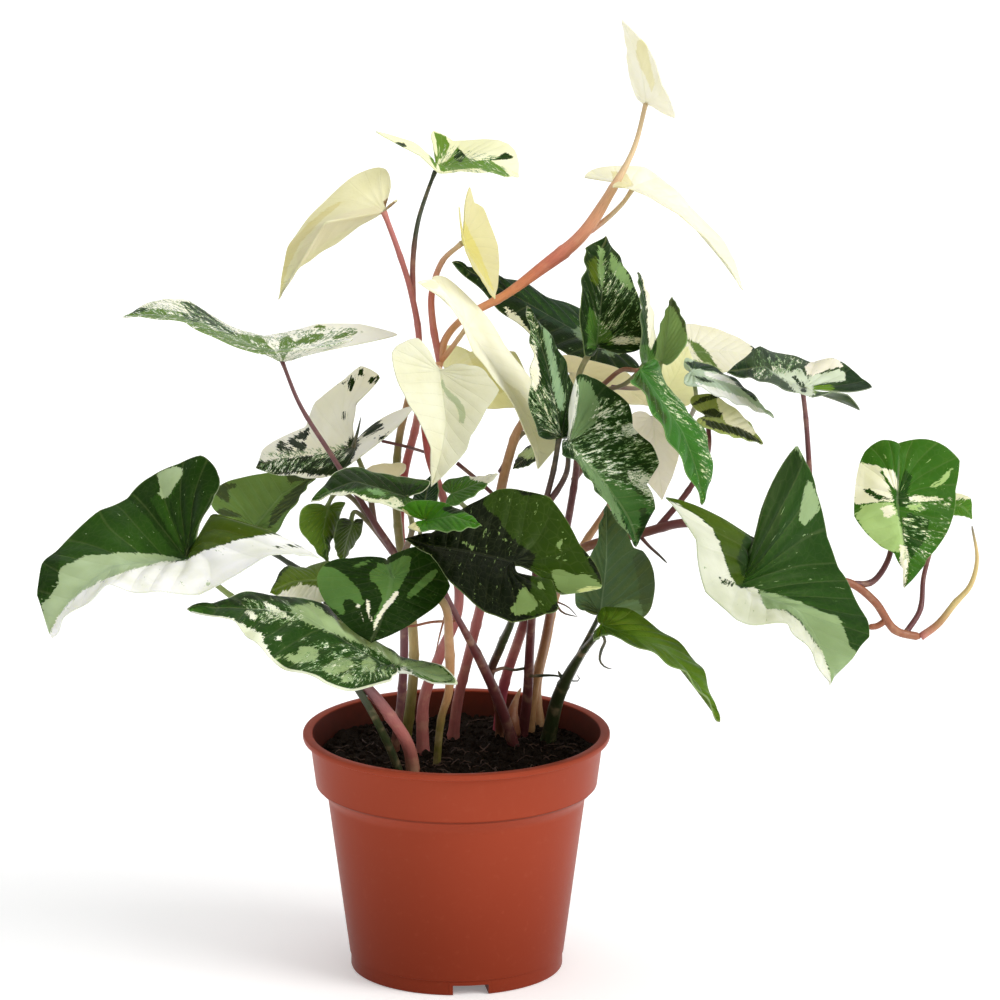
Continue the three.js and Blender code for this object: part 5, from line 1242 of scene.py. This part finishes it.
def leaf_material(name, marking):
    tones = {tone: srgb(*color) for tone, color in marking["tones"].items()}
    s = Shader(name + "_skin", tones[marking["base"]])
    variety = dice.uniform(0, 100)
    across, along, slant = s.attribute("across"), s.attribute("along"), s.attribute("slant")
    vein, reach, under = s.attribute("vein"), s.attribute("reach"), s.attribute("under")
    out = s.math("ABSOLUTE", across)
    side = s.math("MULTIPLY_ADD", s.math("SIGN", across), HALVES_APART, variety)
    flat = s.vector(across, along, variety)
    streaked = s.vector(s.times(out, STREAK_SQUEEZE), slant, side)
    blotch = s.noise(flat, *BLOTCH)
    streak = s.noise(streaked, *STREAK)
    speck = s.noise(streaked, *SPECK)
    grit = s.noise(streaked, *GRIT)

    # The patches, with ragged edges.
    rag = s.vary(0, (blotch, 0.5), (streak, 1), (speck, 1), (grit, 0.7))
    rag = s.times(rag, marking["ragged"] * RAG_REACH)
    for tone in TONES:
        s.paint(tones[tone], s.step(s.math("ADD", s.attribute(tone), rag), -EDGE_SOFTNESS, EDGE_SOFTNESS))

    # Marbling: streaks of cream and sage over the darker tissue, between the side veins.
    within = s.step(s.math("ADD", s.attribute("marble"), rag), -MARBLE_EDGE, MARBLE_EDGE)
    level = s.vary(0.5 + marking["marbling"], (blotch, 0.4), (streak, 0.8), (speck, 0.7), (grit, 0.5))
    s.paint(tones["marbled"], s.step(level, *PALE_STREAKS), within)
    s.paint(tones["cream"], s.step(level, *WHITE_STREAKS), within)

    # Scattered flecks over the whole blade.
    if marking["flecks"]:
        fleck = s.vary(0.5 + marking["flecks"], (streak, 0.6), (speck, 1))
        s.paint(tones["sage"], s.step(fleck, *FLECK_EDGE), FLECK_STRENGTH)

    # Veins, the paler rim, and slow changes of tint.
    vein_line = s.step(s.math("PINGPONG", vein, 0.5), *VEIN_EDGE)
    midrib = s.step(out, *MIDRIB_EDGE)
    net = s.cells(flat, NET_SCALE)
    s.paint(VEIN_TINT, vein_line, VEIN_STRENGTH * marking["veins"])
    s.paint(VEIN_TINT, s.step(net, *NET_EDGE), NET_STRENGTH)
    s.paint(VEIN_TINT, midrib, MIDRIB_STRENGTH * marking["veins"])
    rim = marking["rim"]
    start = RIM_START - RIM_WIDENING * rim
    share = s.step(reach, start, start + RIM_SOFTNESS, to_high=max(LEAST_RIM, rim))
    s.paint(tones["cream" if rim else "sage"], share)
    shade = PALE_SHADE if marking["base"] == "cream" else GREEN_SHADE
    tint = s.step(s.noise(flat, *SLOW_TINT), 0.3, 0.7)
    s.paint(s.mix(tint, shade, NO_SHADE), SHADE_STRENGTH, blend="MULTIPLY")
    s.paint(UNDERSIDE_TINT, under, UNDERSIDE_STRENGTH)

    fine = s.noise(flat, *FINE_GRAIN)
    relief = s.vary(0, (vein_line, -0.7), (net, 0.9), (midrib, -1), (fine, 0.35))
    s.bump(relief, strength=0.4, depth_mm=0.35)
    gloss = s.math("MULTIPLY_ADD", blotch, 0.14, marking["roughness"])
    return s.finish(Roughness=s.math("MULTIPLY_ADD", under, 0.16, gloss), Subsurface_Weight=0.45,
                    Subsurface_Scale=SCATTER_MM * MM, Subsurface_Radius=(1.0, 1.0, 0.6),
                    Specular_IOR_Level=0.13, Specular_Tint=LEAF_SHEEN)


STEM_SHADES = (srgb(168, 150, 140), srgb(255, 250, 245))
STEM_PATCH = srgb(225, 190, 150)
STEM_SPECK = srgb(90, 50, 40)
STEM_STRETCH = 0.06  # the fine lines run along the stem


def stem_material():
    s = Shader("stem_skin")
    run, turn = s.attribute("run"), s.attribute("turn")
    around = s.vector(s.math("COSINE", turn), s.math("SINE", turn), s.times(run, STEM_STRETCH))
    lines = s.noise(around, scale=5.0, detail=4.0, roughness=0.6)
    patches = s.noise(s.place(), scale=0.12, detail=3.0, roughness=0.6)
    specks = s.noise(s.place(), scale=1.6)
    s.color = s.attribute("tint", "Color")
    s.paint(s.mix(lines, *STEM_SHADES), 0.7, blend="MULTIPLY")
    s.paint(STEM_PATCH, s.step(patches, 0.5, 0.75, to_high=0.25))
    s.paint(STEM_SPECK, s.step(specks, 0.68, 0.74, to_high=0.3))
    s.bump(s.math("MULTIPLY_ADD", specks, 0.4, lines), strength=0.35, depth_mm=0.3)
    return s.finish(Roughness=s.step(lines, 0.3, 0.7, to_low=0.34, to_high=0.5), Subsurface_Weight=0.15,
                    Subsurface_Scale=0.0012, Subsurface_Radius=(1.0, 0.6, 0.4))


TERRACOTTA = (srgb(148, 61, 40), srgb(157, 67, 45))
COLLAR_SHADE_PAINT = srgb(70, 26, 16)
POT_LOW_SHADE = srgb(112, 40, 22)
FLOW_MARK = srgb(214, 128, 100)
POT_INSIDE_SHADE = srgb(66, 26, 20)
INSIDE_LOWER_TONE = srgb(46, 28, 22)
POT_SHEEN = srgb(255, 204, 180)
CREASE_FOOT = (73.2, 73.7)  # heights of the painted shadow line under the collar
CREASE_TOP = (74.9, 74.3)
DARKENS_BELOW = 85.0  # height below which the pot gets painted shade, darker towards its bottom
INSIDE_DARKER_HEIGHTS = (99.0, 90.0)  # heights over which the inside wall darkens towards the soil
INSIDE_EDGE_RAGGEDNESS = 9.0


def pot_material():
    s = Shader("pot_plastic")
    point = s.place()
    height = s.node("SeparateXYZ", {0: point}, 2)
    flow = s.noise(point, scale=0.35, detail=4.0, roughness=0.6)
    grain = s.noise(point, scale=6.0)
    s.color = s.mix(s.noise(point, scale=0.02, detail=3.0), *TERRACOTTA)
    # Painted shade: a dark line in the shadowed crease under the collar.
    crease = s.times(s.step(height, *CREASE_FOOT), s.step(height, *CREASE_TOP))
    s.paint(COLLAR_SHADE_PAINT, crease, 0.5)
    # Painted shade: the pot darkens towards its bottom.
    s.paint(POT_LOW_SHADE, s.step(height, DARKENS_BELOW, 0.0, to_high=0.8))
    s.paint(FLOW_MARK, s.step(flow, 0.55, 0.8, to_high=0.05))
    # Painted shade: the pot's inside is painted far darker than its outside.
    inner = s.attribute("inner")
    s.paint(POT_INSIDE_SHADE, inner, 0.85)
    # The inside wall turns darker towards the soil, with a ragged edge.
    darker_lower_inside = s.step(s.math("MULTIPLY_ADD", flow, INSIDE_EDGE_RAGGEDNESS, height), *INSIDE_DARKER_HEIGHTS)
    s.paint(INSIDE_LOWER_TONE, s.times(inner, darker_lower_inside), 0.5)
    s.bump(s.math("MULTIPLY_ADD", flow, 0.6, grain), strength=0.08, depth_mm=0.2)
    return s.finish(Roughness=s.math("MULTIPLY_ADD", flow, 0.12, 0.33), Subsurface_Weight=0.04,
                    Subsurface_Scale=0.001, Specular_IOR_Level=0.08, Specular_Tint=POT_SHEEN)


PEAT = (srgb(10, 7, 4), srgb(42, 29, 18))
PEAT_FLAKE = srgb(86, 58, 38)
BARK = (srgb(30, 18, 12), srgb(88, 58, 40))


def soil_material():
    s = Shader("peat")
    point = s.place()
    lumps = s.noise(point, scale=0.5, detail=5.0, roughness=0.65)
    grain = s.noise(point, scale=2.6, detail=4.0, roughness=0.7)
    s.color = s.mix(lumps, *PEAT)
    s.paint(PEAT_FLAKE, s.step(grain, 0.58, 0.72, to_high=0.5))
    s.bump(s.math("ADD", lumps, grain), strength=0.9, depth_mm=0.8)
    return s.finish(Roughness=s.step(grain, 0.3, 0.7, to_low=0.72, to_high=0.95), Specular_IOR_Level=0.1)


def bark_material():
    s = Shader("root_bark")
    lumps = s.noise(s.place(), scale=0.7, detail=4.0, roughness=0.6)
    s.color = s.mix(lumps, *BARK)
    s.bump(lumps, strength=0.6, depth_mm=0.3)
    return s.finish(Roughness=s.step(lumps, 0.3, 0.7, to_low=0.6, to_high=0.85))


# ---- Pot ----
POT_SIDES = 192
POT_CREASE_DEGREES = 32  # edges that turn by more than this are sharp
# From the middle of the underside out and up to the lip, then down the inside to the floor.
POT_PROFILE = numbers(
    "0,0 38,0 40.8,0 41.3,0.2 41.5,0.7 41.5,5.3 41.55,5.8 42,6 42.05,6.4 50.15,67.6 50.25,68.5 "
    "50.6,69.5 51.3,70.6 52.5,71.9 53.7,73.1 54.2,73.9 54.95,74.4 57.15,91.4 57.4,92 58.2,92.35 "
    "59.2,92.5 59.8,92.8 60,93.4 60,94.2 59.8,94.75 59.3,95 57,95 56.4,94.8 56.05,94.3 53.5,74.5 "
    "51.6,71.5 48.8,68.5 40.1,2.4 39.6,1.7 38.9,1.5 0,1.5")
OUTER_WALL = np.array(numbers("41.5,0 42,6 50.2,68.5 54.9,74.8 57.4,92 60,95"))  # radius and height
INSIDE_FROM = 0.9  # a point this far in from the outer wall is inside the pot
INSIDE_HEIGHTS = (1.2, 94.7)
RIM_RADIUS = 60
FLOOR_EDGE = 40.8
FLOOR_MIDDLE = 0.75  # height in the floor's thickness
CHANNELS = 3  # the drainage channels under the floor, each with a roof, two walls and a hole
FIRST_CHANNEL = math.radians(-82)
CHANNEL_HALF = 7
CHANNEL_HEIGHT = 4
CHANNEL_WALL = 1.4
CHANNEL_FROM = 24
HOLE_RADIUS = 3.2
HOLE_AT = 33
HOLE_HEIGHTS = (3, 8)
HOLE_SIDES = 32


def box(low, high, angle):
    """A box with two corners given, turned about +Z."""
    corners = np.array([[x, y, z] for x in (0, 1) for y in (0, 1) for z in (0, 1)], float)
    corners = np.array(low) + corners * (np.array(high) - np.array(low))
    c, s = math.cos(angle), math.sin(angle)
    corners[:, :2] = corners[:, :2] @ np.array([[c, s], [-s, c]])
    return corners, [(0, 1, 3, 2), (4, 6, 7, 5), (0, 4, 5, 1), (2, 3, 7, 6), (0, 2, 6, 4), (1, 5, 7, 3)]


def cut(piece, shells, operation):
    """Adds closed shells to a piece, or takes them from it."""
    tool = new_piece(operation.lower(), *joined(shells))
    modifier = piece.modifiers.new(tool.name, "BOOLEAN")
    modifier.operation = operation
    modifier.solver = "EXACT"
    modifier.object = tool
    with bpy.context.temp_override(object=piece, active_object=piece):
        bpy.ops.object.modifier_apply(modifier=modifier.name)
    bpy.data.objects.remove(tool)


def sharpen(mesh, degrees):
    """Marks the edges that turn by more than some degrees as sharp."""
    sharp_cosine = math.cos(math.radians(degrees))
    normals = {}
    for polygon in mesh.polygons:
        for key in polygon.edge_keys:
            normals.setdefault(key, []).append(polygon.normal)
    for edge in mesh.edges:
        pair = normals.get(edge.key, [])
        edge.use_edge_sharp = len(pair) == 2 and pair[0].dot(pair[1]) < sharp_cosine


def make_pot(material):
    pot = new_piece("pot_shell", *turned(POT_PROFILE, POT_SIDES), material)
    covers, spaces = [], []
    outer = CHANNEL_HALF + CHANNEL_WALL
    for i in range(CHANNELS):
        angle = FIRST_CHANNEL + FULL_TURN / CHANNELS * i
        low = [CHANNEL_FROM - CHANNEL_WALL, -outer, FLOOR_MIDDLE]
        covers.append(box(low, [FLOOR_EDGE, outer, CHANNEL_HEIGHT + CHANNEL_WALL], angle))
        low = [CHANNEL_FROM, -CHANNEL_HALF, -CHANNEL_HEIGHT]
        spaces.append(box(low, [RIM_RADIUS, CHANNEL_HALF, CHANNEL_HEIGHT], angle))
        bottom, top = HOLE_HEIGHTS
        hole = [[0, bottom], [HOLE_RADIUS, bottom], [HOLE_RADIUS, top], [0, top]]
        points, faces = turned(hole, HOLE_SIDES)
        points += [HOLE_AT * math.cos(angle), HOLE_AT * math.sin(angle), 0]
        spaces.append((points, faces))
    cut(pot, covers, "UNION")
    cut(pot, spaces, "DIFFERENCE")
    mesh = pot.data
    x, y, height = np.array([vertex.co for vertex in mesh.vertices]).T / MM
    wall = np.interp(height, OUTER_WALL[:, 1], OUTER_WALL[:, 0])
    low, high = INSIDE_HEIGHTS
    inside = (np.hypot(x, y) < wall - INSIDE_FROM) & (height > low) & (height < high)
    give_attribute(mesh, "inner", inside)
    mesh.polygons.foreach_set("use_smooth", np.full(len(mesh.polygons), True))
    sharpen(mesh, POT_CREASE_DEGREES)
    hand_over(pot, "nursery_pot")


# ---- Soil ----
SOIL_TOP_RADIUS = 54.2
SOIL_RINGS = 84
SOIL_SIDES = 220
SOIL_WALL = numbers("40.2,5.7 48.4,68.5 53,76")  # radius and height, from the pot's floor up
SOIL_LUMPS = ((2.2, 9), (1.5, 4), (1.2, 1.7), (0.7, 0.8))  # height and size of each kind
HEAP_MM = 0.8
HEAP_RADIUS = 30
NOISE_GRID = 64
CRUMBS = 2600
CRUMBS_WITHIN = 52.5
CRUMB_MM = 0.35
CRUMB_GROWTH_MM = 1.5
CRUMB_RARITY = 4  # the higher, the fewer of the crumbs are large
CRUMB_SQUASH = (0.55, 1.2)
CRUMB_LUMPS = (0.75, 1.15)
CRUMB_RISE = 0.25  # of its size
GOLDEN = (1 + 5 ** 0.5) / 2
FIBRES = 150
FIBRES_WITHIN = 51
FIBRE_END_WITHIN = 53
FIBRE_STEPS = np.linspace(0, 1, 6)
FIBRE_SIDES = 5
FIBRE_HEADINGS = (0, 6.3)
FIBRE_LENGTHS = (3, 9)
FIBRE_BENDS = (-0.6, 0.6)
FIBRE_RADII = (0.12, 0.28)
FIBRE_LIFT = 0.5
FIBRE_ARCH = 0.7


def smooth_noise(x, y, cell, seed):
    """Value noise in the plane, from 0 to 1."""
    grid = np.random.default_rng(seed).random((NOISE_GRID, NOISE_GRID))
    u, v = x / cell + NOISE_GRID / 2, y / cell + NOISE_GRID / 2
    i, j = np.floor(u).astype(int) % NOISE_GRID, np.floor(v).astype(int) % NOISE_GRID
    after_i, after_j = (i + 1) % NOISE_GRID, (j + 1) % NOISE_GRID
    f, g = u - np.floor(u), v - np.floor(v)
    f, g = f * f * (3 - 2 * f), g * g * (3 - 2 * g)
    low = grid[i, j] * (1 - f) + grid[after_i, j] * f
    high = grid[i, after_j] * (1 - f) + grid[after_i, after_j] * f
    return low * (1 - g) + high * g


def soil_height(x, y):
    height = SOIL_LEVEL + HEAP_MM * np.exp(-(x ** 2 + y ** 2) / HEAP_RADIUS ** 2)
    for seed, (rise, cell) in enumerate(SOIL_LUMPS, 1):
        height = height + rise * (smooth_noise(x, y, cell, seed) - 0.5)
    return height


def soil_body():
    top = [[SOIL_TOP_RADIUS * i / SOIL_RINGS, SOIL_LEVEL] for i in range(SOIL_RINGS, -1, -1)]
    points, faces = turned([[0, SOIL_WALL[0][1]], *SOIL_WALL, *top], SOIL_SIDES)
    surface = points[len(SOIL_WALL) * SOIL_SIDES:-2]
    surface[:, 2] = soil_height(surface[:, 0], surface[:, 1])
    return points, faces


def spot_within(reach):
    """A random spot of the soil's surface."""
    radius, angle = reach * math.sqrt(dice.random()), dice.uniform(0, FULL_TURN)
    return radius * math.cos(angle), radius * math.sin(angle)


def soil_crumbs():
    """Small lumps, each an icosahedron with its corners moved."""
    g = GOLDEN
    corners = np.array([[-1, g, 0], [1, g, 0], [-1, -g, 0], [1, -g, 0], [0, -1, g], [0, 1, g],
                        [0, -1, -g], [0, 1, -g], [g, 0, -1], [g, 0, 1], [-g, 0, -1], [-g, 0, 1]])
    faces = [(0, 11, 5), (0, 5, 1), (0, 1, 7), (0, 7, 10), (0, 10, 11), (1, 5, 9), (5, 11, 4),
             (11, 10, 2), (10, 7, 6), (7, 1, 8), (3, 9, 4), (3, 4, 2), (3, 2, 6), (3, 6, 8),
             (3, 8, 9), (4, 9, 5), (2, 4, 11), (6, 2, 10), (8, 6, 7), (9, 8, 1)]
    shells = []
    for _ in range(CRUMBS):
        x, y = spot_within(CRUMBS_WITHIN)
        size = CRUMB_MM + CRUMB_GROWTH_MM * dice.random() ** CRUMB_RARITY
        squash = dice.uniform(*CRUMB_SQUASH, 3)
        turn = np.linalg.qr(dice.normal(size=(3, 3)))[0]
        turn *= np.sign(np.linalg.det(turn))
        lumpy = corners / math.hypot(1, g) * dice.uniform(*CRUMB_LUMPS, (len(corners), 1))
        at = np.array([x, y, soil_height(x, y) + size * CRUMB_RISE])
        shells.append(((lumpy * squash * size) @ turn + at, faces))
    return joined(shells)


def soil_fibres():
    """Fine roots that lie on the soil and arch a little over it."""
    shells = []
    for _ in range(FIBRES):
        x, y = spot_within(FIBRES_WITHIN)
        heading = dice.uniform(*FIBRE_HEADINGS)
        length, bend = dice.uniform(*FIBRE_LENGTHS), dice.uniform(*FIBRE_BENDS)
        x = x + length * FIBRE_STEPS * np.cos(heading + bend * FIBRE_STEPS)
        y = y + length * FIBRE_STEPS * np.sin(heading + bend * FIBRE_STEPS)
        if np.hypot(x, y).max() >= FIBRE_END_WITHIN:
            continue
        z = soil_height(x, y) + FIBRE_LIFT + FIBRE_ARCH * np.sin(math.pi * FIBRE_STEPS)
        radii = np.full(len(FIBRE_STEPS), dice.uniform(*FIBRE_RADII))
        shells.append(sweep(np.column_stack([x, y, z]), radii, FIBRE_SIDES))
    return joined(shells)


def make_soil():
    peat = soil_material()
    hand_over(new_piece("soil_body", *soil_body(), peat), "soil")
    hand_over(new_piece("soil_crumbs", *soil_crumbs(), peat, smooth=False))
    hand_over(new_piece("soil_fibres", *soil_fibres(), bark_material()))


# ---- Stage, light and camera ----
FLOOR_GLOW = 0.2  # the floor is a light table, so shadows on it stay pale
FLOOR_TINTS = (srgb(252, 252, 252), srgb(255, 255, 255))
FLOOR_REACH = 9000
FLOOR_HEIGHT = -0.05
LIGHT_DISTANCE = 2  # metres
SENSOR_WIDTH = 36
VIEW_DEPTH = 60  # metres
WORLD_COLOUR = (0.98, 0.99, 1, 1)
WORLD_STRENGTH = 0.5
WHITE = (1, 1, 1)
WARM_WHITE = (1, 0.985, 0.965)


def pale_floor():
    s = Shader("pale_floor")
    s.color = s.mix(s.noise(s.place(), scale=0.002), *FLOOR_TINTS)
    material = s.finish(Roughness=0.9, Emission_Color=srgb(255, 255, 255), Emission_Strength=FLOOR_GLOW)
    signs = [(-1, -1), (1, -1), (1, 1), (-1, 1)]
    corners = [[FLOOR_REACH * x, FLOOR_REACH * y, FLOOR_HEIGHT] for x, y in signs]
    new_piece("floor", corners, [(0, 1, 2, 3)], material, smooth=False)


def soft_light(name, towards, strength, spread_degrees, colour=WHITE):
    """A wide, even light that comes from one direction, as from a large softbox."""
    lamp = bpy.data.lights.new(name, "SUN")
    lamp.energy = strength
    lamp.angle = math.radians(spread_degrees)
    lamp.color = colour
    light = bpy.data.objects.new(name, lamp)
    light.location = Vector(towards).normalized() * LIGHT_DISTANCE
    light.rotation_euler = light.location.to_track_quat("Z", "Y").to_euler()
    bpy.context.scene.collection.objects.link(light)


def studio_world():
    world = bpy.data.worlds.new("studio")
    world.use_nodes = True
    sky = world.node_tree.nodes["Background"].inputs
    sky["Color"].default_value = WORLD_COLOUR
    sky["Strength"].default_value = WORLD_STRENGTH
    bpy.context.scene.world = world
    bpy.context.scene.view_settings.view_transform = "Standard"


def front_camera():
    camera = bpy.data.cameras.new("front_camera")
    camera.sensor_width = SENSOR_WIDTH
    camera.lens = SHEET_FOCAL / SHEET_SIZE * SENSOR_WIDTH
    camera.clip_end = VIEW_DEPTH
    viewer = bpy.data.objects.new("front_camera", camera)
    viewer.location = Vector(SHEET_EYE * MM)
    viewer.rotation_euler = (math.pi / 2 - SHEET_PITCH, 0, 0)
    bpy.context.scene.collection.objects.link(viewer)
    bpy.context.scene.camera = viewer


def make_plant():
    skin = stem_material()
    for name, tubes in STEMS.items():
        make_stem(name, tubes, skin, name)
    make_stem("aerial_roots", AERIAL_ROOTS, skin)
    for name in LEAVES:
        make_leaf(name)


pale_floor()
studio_world()
soft_light("key_light", (1, -0.5, 0.8), 1.9, 34, WARM_WHITE)
soft_light("side_light", (1, -0.75, 0.08), 0.75, 60)
soft_light("top_light", (-0.3, 0.1, 1), 0.8, 90)
front_camera()
make_pot(pot_material())
make_soil()
make_plant()
